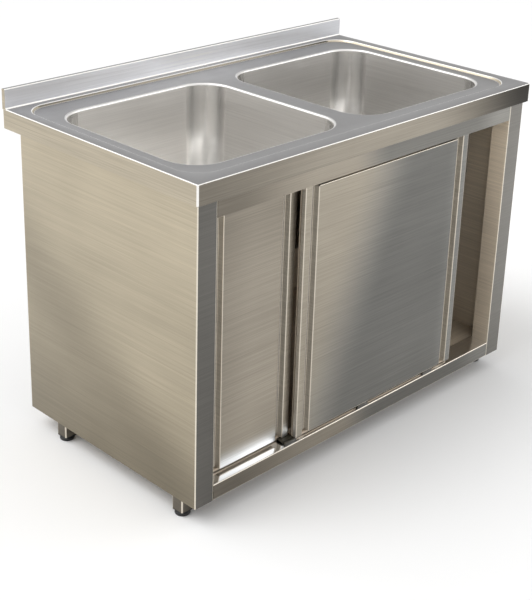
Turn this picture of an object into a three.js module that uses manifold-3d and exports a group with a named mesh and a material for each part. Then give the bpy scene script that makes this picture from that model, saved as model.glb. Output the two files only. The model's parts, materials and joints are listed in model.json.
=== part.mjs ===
// Double-bowl sink cabinet in folded stainless sheet: pressed worktop with upstand, two deep bowls
// with basket wastes, a three-door sliding front on a double top track, and four levelling legs.
// Millimetres, +Z up, front towards -Y, origin on the floor under the middle of the unit.
import * as THREE from 'three';
import { mergeVertices } from 'three/addons/utils/BufferGeometryUtils.js';
import Module from 'manifold-3d';

const wasm = await Module();
wasm.setup();

// Overall sizes
const UNIT_LENGTH = 1200;
const UNIT_DEPTH = 700;
const WORKTOP_HEIGHT = 850;
const SEAM = 0.3; // gap left between pieces that touch

// Worktop
const DECK_SHEET = 1.5;
const APRON_HEIGHT = 50;
const EDGE_RADIUS = 2;
const DECK_CORNER = 4;
const UPSTAND_HEIGHT = 50;
const UPSTAND_THICKNESS = 12;
const RIM_SIDE = 28; // flat rim left round the pressed deck
const RIM_FRONT = 38;
const RIM_BACK = 19;
const PRESS_DEPTH = 6;
const PRESS_SLOPE = 7;
const PRESS_CORNER = 70;

// Bowls
const BOWL_DEPTH = 300;
const BOWL_SHEET = 1.5;
const BOWL_CORNER = 84;
const BOWL_LIP = 6;
const BOWL_FLOOR_RADIUS = 35;
const BOWL_DRAFT = 3;
const BOWL_FALL = 5;
const BOWL_BRIDGE = 64; // between the two bowls' walls
const BOWL_SIDE = 68; // from the unit's edges to the bowls' walls
const BOWL_FRONT = 90;
const BOWL_BACK = 110;

// Wastes
const SEAT_RADIUS = 48;
const SEAT_DEPTH = 4;
const WASTE_HOLE_RADIUS = 30;
const WASTE_FLANGE_RADIUS = 45;
const WASTE_FLANGE = 2;
const WASTE_WALL = 3;
const WASTE_FIT = 0.6;
const WASTE_NECK = 42;
const OUTLET_RADIUS = 20;
const OUTLET_LENGTH = 28;
const OUTLET_CONE = 16;
const TAIL_RIM = 3;
const GASKET_SHEET = 3;
const NUT_HEIGHT = 9;
const NUT_RADIUS = 42;
const NUT_LUGS = 6;
const NUT_LUG_WIDTH = 10;
const NUT_LUG_REACH = 4;
const BASKET_DEPTH = 18;
const BASKET_WALL = 1.2;
const BASKET_RIM = 3;
const BASKET_HOLES = 8;
const BASKET_HOLE_RADIUS = 3;
const KNOB_RADIUS = 6;
const KNOB_HEIGHT = 16;

// Cabinet shell
const PANEL_SHEET = 1.2;
const BEND_RADIUS = 1;
const OVERHANG = 10; // worktop past the cabinet's front and sides
const BACK_SPACE = 55; // worktop past the cabinet's back
const CABINET_CLEARANCE = 50; // cabinet's lower edge above the floor
const STILE_WIDTH = 57;
const STILE_RETURN = 52;
const BACK_FLANGE = 30;
const BOTTOM_FLANGE = 24;
const BACK_PANEL_RETURN = 18;
const TOP_RAIL_SHOWN = 43; // below the apron
const TOP_RAIL_FLANGE = 16;
const BOTTOM_RAIL_HEIGHT = 41;
const BOTTOM_RAIL_RETURN = 25;
const TRAY_DEPTH = 59;
const TRAY_LIP = 15;
const SHELF_STEP = 3; // shelf below the tray
const SHELF_FLANGE = 28;
const STIFFENER_WIDTH = 60;
const STIFFENER_FOOT = 18;
const STIFFENER_HEIGHT = 22;
const BRACE_WIDTH = 30;
const BRACE_FOOT = 8;
const BRACE_HEIGHT = 18;
const BRACE_REAR_WIDTH = 16;

// Legs
const LEG_SIDE = 35;
const LEG_WALL = 1.5;
const LEG_INSET_X = 5; // from the cabinet's side
const LEG_INSET_FRONT = 50;
const LEG_INSET_BACK = 103;
const FOOT_HEIGHT = 8.7;
const FOOT_RADIUS = 19;
const STEM_RADIUS = 5;
const STEM_LENGTH = 40;
const INSERT_CAP = 3;
const INSERT_DEPTH = 20;
const STEM_CLEARANCE = 0.4;

// Doors
const DOOR_SHEET = 1;
const DOOR_THICKNESS = 18.3;
const REAR_DOOR_WIDTH = 275;
const DOOR_OVERLAP = 49.5; // between closed doors
const DOOR_SIDE_GAP = 1; // beside a closed rear door
const MIDDLE_DOOR_OPEN = 52.5; // how far each door stands from closed
const RIGHT_DOOR_OPEN = 187;
const DOOR_BEHIND_RAIL = 3.5; // front door's face behind the rail's face
const DOOR_PITCH = 24.5; // front door's face to rear doors' face
const DOOR_GAP_BELOW = 9;
const DOOR_GAP_ABOVE = 6;
const DOOR_TAIL = 18; // door edges that rise behind the top rail
const PULL_FLANGE = 22;
const PULL_WIDTH = 22;
const PULL_DEPTH = 16;
const DOOR_END_FOLD = 11;
const LIP_SETBACK = 9.5; // guide lip behind the door's face
const LIP_TOE = 2; // guide lip above the tray

// Door gear
const TRACK_SHEET = 1.2;
const TRACK_LIP = 13;
const TRACK_ABOVE_DOOR = 7;
const ROLLER_LINE = 9; // roller's middle behind the door's face
const TRACK_POCKET = 8.5; // from the track's lip to its web
const ROLLER_TREAD = 10;
const ROLLER_RADIUS = 13;
const ROLLER_WIDTH = 8;
const ROLLER_GROOVE = 3;
const AXLE_RADIUS = 2.5;
const AXLE_CLEARANCE = 0.3;
const AXLE_HEAD = 1.2;
const AXLE_HEAD_RADIUS = 4.5;
const HANGER_SHEET = 2;
const HANGER_WIDTH = 36;
const HANGER_GRIP = 60; // hanger's length inside the door
const HANGER_INSET = 58; // from the door's edge
const HANGER_CROWN = 10; // above the axle
const GUIDE_LENGTH = 40;
const GUIDE_INSET = 11; // guide's middle behind a closed rear door's edge
const GUIDE_WALL = 5;
const GUIDE_SLOT = 3.2;

// Facets
const CORNER_STEPS = 6;
const BEND_STEPS = 2;
const ROUND_STEPS = 24;
const ROLLER_STEPS = 18;
const WASTE_STEPS = 16;

// Levels and places that follow from the sizes
const halfLength = UNIT_LENGTH / 2;
const halfDepth = UNIT_DEPTH / 2;
const deckTop = WORKTOP_HEIGHT - PRESS_DEPTH;
const deckUnder = deckTop - DECK_SHEET;
const apronBottom = WORKTOP_HEIGHT - APRON_HEIGHT;
const upstandFront = halfDepth - UPSTAND_THICKNESS;
const bowlLength = (UNIT_LENGTH - 2 * BOWL_SIDE - BOWL_BRIDGE) / 2;
const bowlWidth = UNIT_DEPTH - BOWL_FRONT - BOWL_BACK;
const bowlX = (bowlLength + BOWL_BRIDGE) / 2;
const bowlY = -halfDepth + BOWL_FRONT + bowlWidth / 2;
const bowlFloor = PRESS_DEPTH - BOWL_DEPTH; // below the deck
const cabinetSide = halfLength - OVERHANG;
const cabinetFront = -halfDepth + OVERHANG;
const cabinetBack = halfDepth - BACK_SPACE;
const openingSide = cabinetSide - STILE_WIDTH;
const shellTop = deckUnder - SEAM;
const openingTop = apronBottom - TOP_RAIL_SHOWN;
const trayTop = CABINET_CLEARANCE + BOTTOM_RAIL_HEIGHT;
const trayBack = cabinetFront + TRAY_DEPTH;
const shelfTop = trayTop - SHELF_STEP;
const shelfFront = trayBack + SEAM;
const shelfBack = cabinetBack - PANEL_SHEET - SEAM - PANEL_SHEET - SEAM;
const shelfSide = cabinetSide - PANEL_SHEET - SEAM;
const legX = cabinetSide - LEG_INSET_X - LEG_SIDE / 2;
const legFrontY = cabinetFront + LEG_INSET_FRONT + LEG_SIDE / 2;
const legBackY = cabinetBack - LEG_INSET_BACK - LEG_SIDE / 2;
const legBottom = FOOT_HEIGHT + SEAM + INSERT_CAP + SEAM;
const legTop = shelfTop - PANEL_SHEET - SEAM;
const doorBottom = trayTop + DOOR_GAP_BELOW;
const doorTop = openingTop - DOOR_GAP_ABOVE;
const doorTailTop = openingTop + DOOR_TAIL;
const frontDoorY = cabinetFront + DOOR_BEHIND_RAIL;
const rearDoorY = frontDoorY + DOOR_PITCH;
const trackBottom = doorTailTop + TRACK_ABOVE_DOOR;
const trackLipTop = trackBottom + TRACK_LIP;
const axleZ = trackLipTop + SEAM + ROLLER_TREAD;
const closedEdge = openingSide - DOOR_SIDE_GAP;
const middleDoorWidth = 2 * (closedEdge - REAR_DOOR_WIDTH + DOOR_OVERLAP);
const guideX = closedEdge - REAR_DOOR_WIDTH + GUIDE_INSET;

// Colours of the finishes
const steel = (color, roughness) => new THREE.MeshStandardMaterial({ color, roughness, metalness: 1 });
const plastic = (color, roughness) => new THREE.MeshStandardMaterial({ color, roughness, metalness: 0 });
const finishes = {
  deck: steel(0x9a9a9c, 0.32),
  bowl: steel(0xaba7a4, 0.28),
  panel: steel(0xb0a793, 0.36),
  door: steel(0x9c968a, 0.34),
  frame: steel(0x8d8675, 0.38),
  inside: steel(0x8a8273, 0.45),
  polished: steel(0xc9c9c7, 0.15),
  black: plastic(0x101010, 0.5),
  nylon: plastic(0xdedbd2, 0.45),
  rubber: plastic(0x1b1b1b, 0.85),
};

// ---- Solids ----

function signedVolume(positions, index) {
  const corner = (i) => new THREE.Vector3().fromArray(positions, index[i] * 3);
  let total = 0;
  for (let i = 0; i < index.length; i += 3) {
    total += corner(i).dot(corner(i + 1).cross(corner(i + 2)));
  }
  return total / 6;
}

// A closed geometry as a solid whose faces point outwards.
function solid(geometry) {
  const bare = geometry.clone();
  bare.deleteAttribute('normal');
  bare.deleteAttribute('uv');
  const merged = mergeVertices(bare, 1e-4);
  const vertProperties = new Float32Array(merged.attributes.position.array);
  const kept = [];
  const index = merged.index.array;
  for (let i = 0; i < index.length; i += 3) {
    const [a, b, c] = [index[i], index[i + 1], index[i + 2]];
    if (a !== b && b !== c && c !== a) kept.push(a, b, c);
  }
  if (signedVolume(vertProperties, kept) < 0) kept.reverse();
  return new wasm.Manifold(new wasm.Mesh({ numProp: 3, vertProperties, triVerts: new Uint32Array(kept) }));
}

const join = (first, ...others) => others.reduce((sum, next) => sum.add(next), first);
const cut = (first, ...others) => others.reduce((rest, next) => rest.subtract(next), first);

function piece(name, body, finish) {
  const { vertProperties, triVerts } = body.getMesh();
  const geometry = new THREE.BufferGeometry();
  geometry.setAttribute('position', new THREE.BufferAttribute(new Float32Array(vertProperties), 3));
  geometry.setIndex(new THREE.BufferAttribute(new Uint32Array(triVerts), 1));
  geometry.computeVertexNormals();
  const mesh = new THREE.Mesh(geometry, finish);
  mesh.name = name;
  return mesh;
}

function block(x0, x1, y0, y1, z0, z1) {
  const geometry = new THREE.BoxGeometry(x1 - x0, y1 - y0, z1 - z0);
  return solid(geometry.translate((x0 + x1) / 2, (y0 + y1) / 2, (z0 + z1) / 2));
}

// A solid of revolution about +Z from a profile of [radius, height] pairs.
function revolve(profile, steps = ROUND_STEPS) {
  const points = profile.map(([r, z]) => new THREE.Vector2(r, z));
  if (profile[0][0] > 0) points.push(points[0].clone());
  return solid(new THREE.LatheGeometry(points, steps).rotateX(Math.PI / 2));
}

const shapeOf = (points) => new THREE.Shape(points);
const extruded = (shape, length) => new THREE.ExtrudeGeometry(shape, { depth: length, bevelEnabled: false });

// A section drawn in plan, standing from z0 to z1.
const standing = (shape, z0, z1) => solid(extruded(shape, z1 - z0).translate(0, 0, z0));

// A section drawn in Y and Z, running along X from x0 to x1.
function running(shape, x0, x1) {
  const turn = new THREE.Matrix4().makeBasis(
    new THREE.Vector3(0, 1, 0),
    new THREE.Vector3(0, 0, 1),
    new THREE.Vector3(1, 0, 0),
  );
  return solid(extruded(shape, x1 - x0).applyMatrix4(turn).translate(x0, 0, 0));
}

// A section drawn in X and Z, running along Y from y0 to y1.
const receding = (shape, y0, y1) => solid(extruded(shape, y1 - y0).rotateX(Math.PI / 2).translate(0, y1, 0));

// ---- Folded sheet ----

// An open line with its bends rounded, one radius for each bend.
function roundBends(points, radii) {
  const line = [points[0]];
  for (let i = 1; i < points.length - 1; i += 1) {
    const back = points[i - 1].clone().sub(points[i]).normalize();
    const ahead = points[i + 1].clone().sub(points[i]).normalize();
    const half = Math.acos(THREE.MathUtils.clamp(back.dot(ahead), -1, 1)) / 2;
    const radius = radii[i - 1];
    const centre = back.clone().add(ahead).normalize();
    centre.multiplyScalar(radius / Math.sin(half)).add(points[i]);
    const from = back.clone().multiplyScalar(radius / Math.tan(half)).add(points[i]).sub(centre);
    const to = ahead.clone().multiplyScalar(radius / Math.tan(half)).add(points[i]).sub(centre);
    const sweep = Math.atan2(from.cross(to), from.dot(to));
    for (let k = 0; k <= BEND_STEPS; k += 1) {
      const spoke = from.clone().rotateAround(new THREE.Vector2(), (sweep * k) / BEND_STEPS);
      line.push(spoke.add(centre));
    }
  }
  line.push(points[points.length - 1]);
  return line;
}

// The section of a folded sheet. The line is one face of the sheet, and the metal lies to its left
// (side 1) or right (side -1); the inner radius of every bend is the same.
function foldedSheet(corners, sheet, side = 1) {
  const points = corners.map(([a, b]) => new THREE.Vector2(a, b));
  const normals = points.slice(1).map((p, i) => {
    const along = p.clone().sub(points[i]).normalize();
    return new THREE.Vector2(-along.y, along.x).multiplyScalar(side);
  });
  const other = [points[0].clone().addScaledVector(normals[0], sheet)];
  const faceRadii = [];
  const otherRadii = [];
  for (let i = 1; i < points.length - 1; i += 1) {
    const [n0, n1] = [normals[i - 1], normals[i]];
    const mitre = n0.clone().add(n1).multiplyScalar(sheet / (1 + n0.dot(n1)));
    other.push(points[i].clone().add(mitre));
    const faceOutside = n0.cross(n1) * side > 0;
    faceRadii.push(BEND_RADIUS + (faceOutside ? sheet : 0));
    otherRadii.push(BEND_RADIUS + (faceOutside ? 0 : sheet));
  }
  other.push(points[points.length - 1].clone().addScaledVector(normals[normals.length - 1], sheet));
  return shapeOf([...roundBends(points, faceRadii), ...roundBends(other, otherRadii).reverse()]);
}

// ---- Lofts through rounded rectangles ----

// One level of a loft, given by its sides, corner radius and height.
function level(x0, x1, y0, y1, radius, z) {
  const middles = [
    [x1 - radius, y1 - radius],
    [x0 + radius, y1 - radius],
    [x0 + radius, y0 + radius],
    [x1 - radius, y0 + radius],
  ];
  const ring = [];
  middles.forEach(([mx, my], quarter) => {
    for (let k = 0; k <= CORNER_STEPS; k += 1) {
      const angle = ((quarter + k / CORNER_STEPS) * Math.PI) / 2;
      ring.push(new THREE.Vector3(mx + radius * Math.cos(angle), my + radius * Math.sin(angle), z));
    }
  });
  return ring;
}

// A round level with as many points as a rounded rectangle has.
function roundLevel(radius, z) {
  const count = 4 * (CORNER_STEPS + 1);
  return Array.from({ length: count }, (_, i) => {
    const angle = ((i - CORNER_STEPS / 2) * 2 * Math.PI) / count + Math.PI / 4;
    return new THREE.Vector3(radius * Math.cos(angle), radius * Math.sin(angle), z);
  });
}

// A ring-shaped body whose skin passes through the levels and closes on the first.
function closedLoft(levels) {
  const count = levels[0].length;
  const positions = new Float32Array(levels.flat().flatMap((p) => [p.x, p.y, p.z]));
  const index = [];
  levels.forEach((_, row) => {
    const next = (row + 1) % levels.length;
    for (let i = 0; i < count; i += 1) {
      const j = (i + 1) % count;
      const [a, b, c, d] = [row * count + i, row * count + j, next * count + j, next * count + i];
      index.push(a, b, c, a, c, d);
    }
  });
  const geometry = new THREE.BufferGeometry();
  geometry.setAttribute('position', new THREE.BufferAttribute(positions, 3));
  geometry.setIndex(index);
  return solid(geometry);
}

// ---- Worktop ----

const pressed = {
  x: halfLength - RIM_SIDE,
  y0: -halfDepth + RIM_FRONT,
  y1: upstandFront - RIM_BACK,
};

function outlineLevel(inset, z) {
  const radius = Math.max(DECK_CORNER - inset, DECK_SHEET);
  return level(-halfLength + inset, halfLength - inset, -halfDepth + inset, halfDepth - inset, radius, z);
}

function pressedLevel(inset, z) {
  const side = pressed.x - inset;
  return level(-side, side, pressed.y0 + inset, pressed.y1 - inset, PRESS_CORNER - inset, z);
}

// Apron, rim and pressed step as one continuous sheet round the deck.
function deckEdge() {
  const fold = OVERHANG - SEAM;
  const turned = EDGE_RADIUS * (1 - Math.SQRT1_2);
  const top = WORKTOP_HEIGHT;
  const under = top - DECK_SHEET;
  const ledge = PRESS_SLOPE + DECK_SHEET * 2;
  return closedLoft([
    outlineLevel(fold, apronBottom),
    outlineLevel(0, apronBottom),
    outlineLevel(0, top - EDGE_RADIUS),
    outlineLevel(turned, top - turned),
    outlineLevel(EDGE_RADIUS, top),
    pressedLevel(0, top),
    pressedLevel(PRESS_SLOPE, deckTop),
    pressedLevel(ledge, deckTop),
    pressedLevel(ledge, deckUnder),
    pressedLevel(PRESS_SLOPE - DECK_SHEET / 2, deckUnder),
    pressedLevel(-DECK_SHEET / 2, under),
    outlineLevel(DECK_SHEET, under),
    outlineLevel(DECK_SHEET, apronBottom + DECK_SHEET),
    outlineLevel(fold, apronBottom + DECK_SHEET),
  ]);
}

// Flat pressed deck with the two bowl cut-outs.
function deckField() {
  const grown = BOWL_LIP + SEAM;
  const outline = (points) => points.map((p) => new THREE.Vector2(p.x, p.y));
  const shape = shapeOf(outline(pressedLevel(PRESS_SLOPE + DECK_SHEET, 0)));
  for (const x of [-bowlX, bowlX]) {
    const [halfX, halfY] = [bowlLength / 2 + grown, bowlWidth / 2 + grown];
    const rim = level(x - halfX, x + halfX, bowlY - halfY, bowlY + halfY, BOWL_CORNER + grown, 0);
    shape.holes.push(new THREE.Path(outline(rim)));
  }
  return standing(shape, deckUnder, deckTop);
}

// Upstand: the sheet rises behind the rim, folds back along the top and drops to the rear apron.
function upstand() {
  const top = WORKTOP_HEIGHT + UPSTAND_HEIGHT;
  const root = WORKTOP_HEIGHT - DECK_SHEET;
  return running(foldedBar(upstandFront, halfDepth, root, top), -halfLength, halfLength);
}

// A bar's section with its two upper edges rounded.
function foldedBar(y0, y1, z0, z1) {
  const shape = new THREE.Shape();
  shape.moveTo(y0, z0);
  shape.lineTo(y1, z0);
  shape.lineTo(y1, z1 - EDGE_RADIUS);
  shape.absarc(y1 - EDGE_RADIUS, z1 - EDGE_RADIUS, EDGE_RADIUS, 0, Math.PI / 2);
  shape.lineTo(y0 + EDGE_RADIUS, z1);
  shape.absarc(y0 + EDGE_RADIUS, z1 - EDGE_RADIUS, EDGE_RADIUS, Math.PI / 2, Math.PI);
  return shapeOf(shape.extractPoints(BEND_STEPS).shape);
}

function worktop() {
  const end = halfLength - DECK_SHEET;
  const hollow = block(
    -end,
    end,
    upstandFront + DECK_SHEET,
    halfDepth - DECK_SHEET,
    deckTop,
    WORKTOP_HEIGHT + UPSTAND_HEIGHT - DECK_SHEET,
  );
  return piece('worktop', cut(join(deckEdge(), deckField(), upstand()), hollow), finishes.deck);
}

// ---- Bowls and wastes, drawn about the bowl's middle with the deck at zero ----

// One level of the bowl; inset is measured inwards from the top of the wall.
function bowlLevel(inset, z) {
  const [x, y] = [bowlLength / 2 - inset, bowlWidth / 2 - inset];
  return level(-x, x, -y, y, BOWL_CORNER - inset, z);
}

// The bowl's skin from lip to drain hole. depth is 0 for the inner face and the sheet's thickness
// for the outer one.
function bowlSkin(depth) {
  const lipSteps = 3;
  const floorSteps = 4;
  const skin = [];
  const lip = BOWL_LIP - depth;
  for (let k = 0; k <= lipSteps; k += 1) {
    const a = (k / lipSteps) * (Math.PI / 2);
    skin.push(bowlLevel(-BOWL_LIP + lip * Math.sin(a), -BOWL_LIP + lip * Math.cos(a)));
  }
  const round = BOWL_FLOOR_RADIUS + depth;
  for (let k = 0; k <= floorSteps; k += 1) {
    const a = (k / floorSteps) * (Math.PI / 2);
    const inset = BOWL_DRAFT + BOWL_FLOOR_RADIUS - round * Math.cos(a);
    skin.push(bowlLevel(inset, bowlFloor + BOWL_FLOOR_RADIUS - round * Math.sin(a)));
  }
  const seat = bowlFloor - BOWL_FALL;
  skin.push(roundLevel(SEAT_RADIUS + depth, seat - depth));
  skin.push(roundLevel(SEAT_RADIUS - DECK_SHEET + depth, seat - SEAT_DEPTH - depth));
  skin.push(roundLevel(WASTE_HOLE_RADIUS, seat - SEAT_DEPTH - depth));
  return skin;
}

const bowl = () => closedLoft([...bowlSkin(0), ...bowlSkin(BOWL_SHEET).reverse()]);

const seatTop = bowlFloor - BOWL_FALL - SEAT_DEPTH;
const seatUnder = seatTop - BOWL_SHEET;
const neckRadius = WASTE_HOLE_RADIUS - WASTE_FIT;
const flangeTop = seatTop + SEAM + WASTE_FLANGE;
const ledgeZ = flangeTop - BASKET_RIM;
const neckBore = neckRadius - WASTE_WALL;
const neckBottom = seatTop - WASTE_NECK;
const outletTop = neckBottom - OUTLET_CONE;
const outletEnd = outletTop - OUTLET_LENGTH;

// Waste: flange on the seat with a ledge for the basket, and a threaded neck through the bowl.
function wasteBody() {
  return revolve(
    [
      [neckRadius + WASTE_FLANGE, flangeTop],
      [WASTE_FLANGE_RADIUS - WASTE_FLANGE, flangeTop],
      [WASTE_FLANGE_RADIUS, seatTop + SEAM],
      [neckRadius, seatTop + SEAM],
      [neckRadius, neckBottom],
      [neckBore, neckBottom],
      [neckBore, ledgeZ],
      [neckRadius - SEAM, ledgeZ],
    ],
    WASTE_STEPS,
  );
}

// Tail: rim under the neck, cone and outlet.
function wasteTail() {
  const rimTop = neckBottom - SEAM;
  return revolve(
    [
      [neckRadius, rimTop],
      [neckRadius, rimTop - TAIL_RIM],
      [OUTLET_RADIUS, outletTop],
      [OUTLET_RADIUS, outletEnd],
      [OUTLET_RADIUS - WASTE_WALL, outletEnd],
      [OUTLET_RADIUS - WASTE_WALL, outletTop],
      [neckBore, rimTop],
    ],
    WASTE_STEPS,
  );
}

const gasket = () => revolve([
  [WASTE_HOLE_RADIUS, seatUnder - SEAM],
  [NUT_RADIUS, seatUnder - SEAM],
  [NUT_RADIUS, seatUnder - SEAM - GASKET_SHEET],
  [WASTE_HOLE_RADIUS, seatUnder - SEAM - GASKET_SHEET],
], WASTE_STEPS);

// Lock nut with grip lugs round its edge.
function lockNut() {
  const top = seatUnder - 2 * SEAM - GASKET_SHEET;
  const rim = NUT_RADIUS - NUT_LUG_REACH;
  const ring = revolve([
    [WASTE_HOLE_RADIUS, top],
    [rim, top],
    [rim, top - NUT_HEIGHT],
    [WASTE_HOLE_RADIUS, top - NUT_HEIGHT],
  ], WASTE_STEPS);
  const lugs = Array.from({ length: NUT_LUGS }, (_, i) => {
    const half = NUT_LUG_WIDTH / 2;
    const lug = block(rim - NUT_LUG_REACH / 2, NUT_RADIUS, -half, half, top - NUT_HEIGHT, top);
    return lug.rotate([0, 0, (i * 360) / NUT_LUGS]);
  });
  return join(ring, ...lugs);
}

// Basket strainer with a pull knob and a ring of drain holes.
function basket() {
  const rimTop = flangeTop;
  const rimUnder = ledgeZ + SEAM;
  const outer = neckBore - WASTE_FIT;
  const bottom = rimUnder - BASKET_DEPTH;
  const floorTop = bottom + BASKET_WALL;
  const cup = revolve([
    [0, bottom],
    [outer - BASKET_WALL, bottom],
    [outer, bottom + BASKET_WALL],
    [outer, rimUnder],
    [neckRadius - 2 * SEAM - WASTE_FIT, rimUnder],
    [neckRadius - 2 * SEAM - WASTE_FIT, rimTop - BASKET_WALL],
    [outer - BASKET_WALL, rimTop - BASKET_WALL],
    [outer - BASKET_WALL, floorTop],
    [KNOB_RADIUS / 2, floorTop],
    [KNOB_RADIUS / 2, floorTop + KNOB_HEIGHT - BASKET_WALL * 2],
    [KNOB_RADIUS, floorTop + KNOB_HEIGHT - BASKET_WALL],
    [KNOB_RADIUS, floorTop + KNOB_HEIGHT],
    [0, floorTop + KNOB_HEIGHT],
  ], WASTE_STEPS);
  const middle = (KNOB_RADIUS / 2 + outer) / 2;
  const drill = solid(new THREE.CylinderGeometry(BASKET_HOLE_RADIUS, BASKET_HOLE_RADIUS, 4 * BASKET_WALL, 8)
    .rotateX(Math.PI / 2).translate(middle, 0, bottom));
  const pitch = 360 / BASKET_HOLES;
  const holes = Array.from({ length: BASKET_HOLES }, (_, i) => drill.rotate([0, 0, i * pitch]));
  return cut(cup, ...holes);
}

function bowlGroup(side, x) {
  const group = new THREE.Group();
  group.add(
    piece(`bowl_${side}`, bowl(), finishes.bowl),
    piece(`waste_body_${side}`, wasteBody(), finishes.polished),
    piece(`waste_tail_${side}`, wasteTail(), finishes.polished),
    piece(`waste_gasket_${side}`, gasket(), finishes.rubber),
    piece(`waste_locknut_${side}`, lockNut(), finishes.black),
    piece(`strainer_basket_${side}`, basket(), finishes.polished),
  );
  group.position.set(x, bowlY, deckTop);
  return group;
}

// ---- Cabinet shell ----

const legPlaces = [
  ['front_left', -legX, legFrontY],
  ['front_right', legX, legFrontY],
  ['back_left', -legX, legBackY],
  ['back_right', legX, legBackY],
];

// Side panel: rear flange, side, front stile and the stile's inner return, with a lower flange
// notched round the legs. sign is -1 for the left panel.
function sidePanel(sign) {
  const section = foldedSheet(
    [
      [sign * (cabinetSide - BACK_FLANGE), cabinetBack],
      [sign * cabinetSide, cabinetBack],
      [sign * cabinetSide, cabinetFront],
      [sign * openingSide, cabinetFront],
      [sign * openingSide, cabinetFront + STILE_RETURN],
    ],
    PANEL_SHEET,
    -sign,
  );
  const wall = standing(section, CABINET_CLEARANCE, shellTop);
  const [outer, inner] = [sign * (cabinetSide - PANEL_SHEET / 2), sign * (cabinetSide - BOTTOM_FLANGE)];
  const flange = block(
    Math.min(outer, inner),
    Math.max(outer, inner),
    cabinetFront + STILE_RETURN,
    cabinetBack - BACK_FLANGE,
    CABINET_CLEARANCE,
    CABINET_CLEARANCE + PANEL_SHEET,
  );
  const reach = LEG_SIDE / 2 + SEAM;
  const [low, high] = [CABINET_CLEARANCE - PANEL_SHEET, CABINET_CLEARANCE + 2 * PANEL_SHEET];
  const notches = [legFrontY, legBackY].map((y) => (
    block(sign * legX - reach, sign * legX + reach, y - reach, y + reach, low, high)
  ));
  return join(wall, cut(flange, ...notches));
}

// Back panel inside the side panels' rear flanges, folded forward at top and bottom.
function backPanel() {
  const y = cabinetBack - PANEL_SHEET - SEAM;
  const [low, high] = [CABINET_CLEARANCE + PANEL_SHEET, shellTop];
  const section = foldedSheet(
    [
      [y - BACK_PANEL_RETURN, low],
      [y, low],
      [y, high],
      [y - BACK_PANEL_RETURN, high],
    ],
    PANEL_SHEET,
  );
  return running(section, -shelfSide, shelfSide);
}

const railEnd = openingSide - SEAM;

// Top rail: closes the front above the doors and flanges back under the deck.
const topRail = () => running(
  foldedSheet(
    [
      [cabinetFront, openingTop],
      [cabinetFront, shellTop],
      [cabinetFront + TOP_RAIL_FLANGE, shellTop],
    ],
    PANEL_SHEET,
    -1,
  ),
  -railEnd,
  railEnd,
);

// Bottom rail: lower return, face, door tray and the tray's rear lip.
const bottomRail = () => running(
  foldedSheet(
    [
      [cabinetFront + BOTTOM_RAIL_RETURN, CABINET_CLEARANCE],
      [cabinetFront, CABINET_CLEARANCE],
      [cabinetFront, trayTop],
      [trayBack, trayTop],
      [trayBack, trayTop - TRAY_LIP],
    ],
    PANEL_SHEET,
    -1,
  ),
  -railEnd,
  railEnd,
);

// Bottom shelf, folded down at front and back, its front fold notched round the legs.
function bottomShelf() {
  const shelf = running(
    foldedSheet(
      [
        [shelfFront, shelfTop - SHELF_FLANGE],
        [shelfFront, shelfTop],
        [shelfBack, shelfTop],
        [shelfBack, shelfTop - SHELF_FLANGE],
      ],
      PANEL_SHEET,
      -1,
    ),
    -shelfSide,
    shelfSide,
  );
  const legInner = legX - LEG_SIDE / 2 - SEAM;
  const notch = (x0, x1) => block(
    x0,
    x1,
    shelfFront - PANEL_SHEET,
    legFrontY + LEG_SIDE / 2 + SEAM,
    shelfTop - SHELF_FLANGE - PANEL_SHEET,
    legTop + SEAM,
  );
  return cut(shelf, notch(-halfLength, -legInner), notch(legInner, halfLength));
}

// A hat section: two feet against the sheet above it and a trough hanging below.
function hatSection(width, foot, height, top) {
  const half = width / 2;
  return foldedSheet(
    [
      [-half - foot, top],
      [-half, top],
      [-half, top - height],
      [half, top - height],
      [half, top],
      [half + foot, top],
    ],
    PANEL_SHEET,
    -1,
  );
}

function shelfStiffener() {
  const top = shelfTop - PANEL_SHEET - SEAM;
  const middle = (shelfFront + shelfBack) / 2;
  const end = legX - LEG_SIDE / 2 - SEAM;
  const hat = hatSection(STIFFENER_WIDTH, STIFFENER_FOOT, STIFFENER_HEIGHT, top);
  return running(hat, -end, end).translate([0, middle, 0]);
}

function deckBraceMiddle() {
  const hat = hatSection(BRACE_WIDTH, BRACE_FOOT, BRACE_HEIGHT, deckUnder - SEAM);
  const behindTrack = rearDoorY + DOOR_THICKNESS + BOWL_LIP;
  return receding(hat, behindTrack, cabinetBack - BACK_PANEL_RETURN - BRACE_REAR_WIDTH * 2);
}

function deckBraceRear() {
  const hat = hatSection(BRACE_REAR_WIDTH, BRACE_FOOT / 2, BRACE_HEIGHT, deckUnder - SEAM);
  const bowlBack = bowlY + bowlWidth / 2 + BOWL_LIP;
  const y = bowlBack + BRACE_REAR_WIDTH / 2 + BRACE_FOOT / 2 + BOWL_SHEET;
  return running(hat, -bowlX - bowlLength / 2, bowlX + bowlLength / 2).translate([0, y, 0]);
}

// ---- Legs ----

function squareRing(side, z0, z1, boreShape) {
  const half = side / 2;
  const shape = shapeOf([
    new THREE.Vector2(-half, -half),
    new THREE.Vector2(half, -half),
    new THREE.Vector2(half, half),
    new THREE.Vector2(-half, half),
  ]);
  shape.holes.push(boreShape);
  return standing(shape, z0, z1);
}

function squareBore(side) {
  const half = side / 2;
  return new THREE.Path([
    new THREE.Vector2(-half, -half),
    new THREE.Vector2(-half, half),
    new THREE.Vector2(half, half),
    new THREE.Vector2(half, -half),
  ]);
}

function roundBore(radius) {
  const path = new THREE.Path();
  path.absarc(0, 0, radius, 0, 2 * Math.PI);
  return new THREE.Path(path.getPoints(ROUND_STEPS / 4));
}

const legTube = () => squareRing(LEG_SIDE, legBottom, legTop, squareBore(LEG_SIDE - 2 * LEG_WALL));

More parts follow.
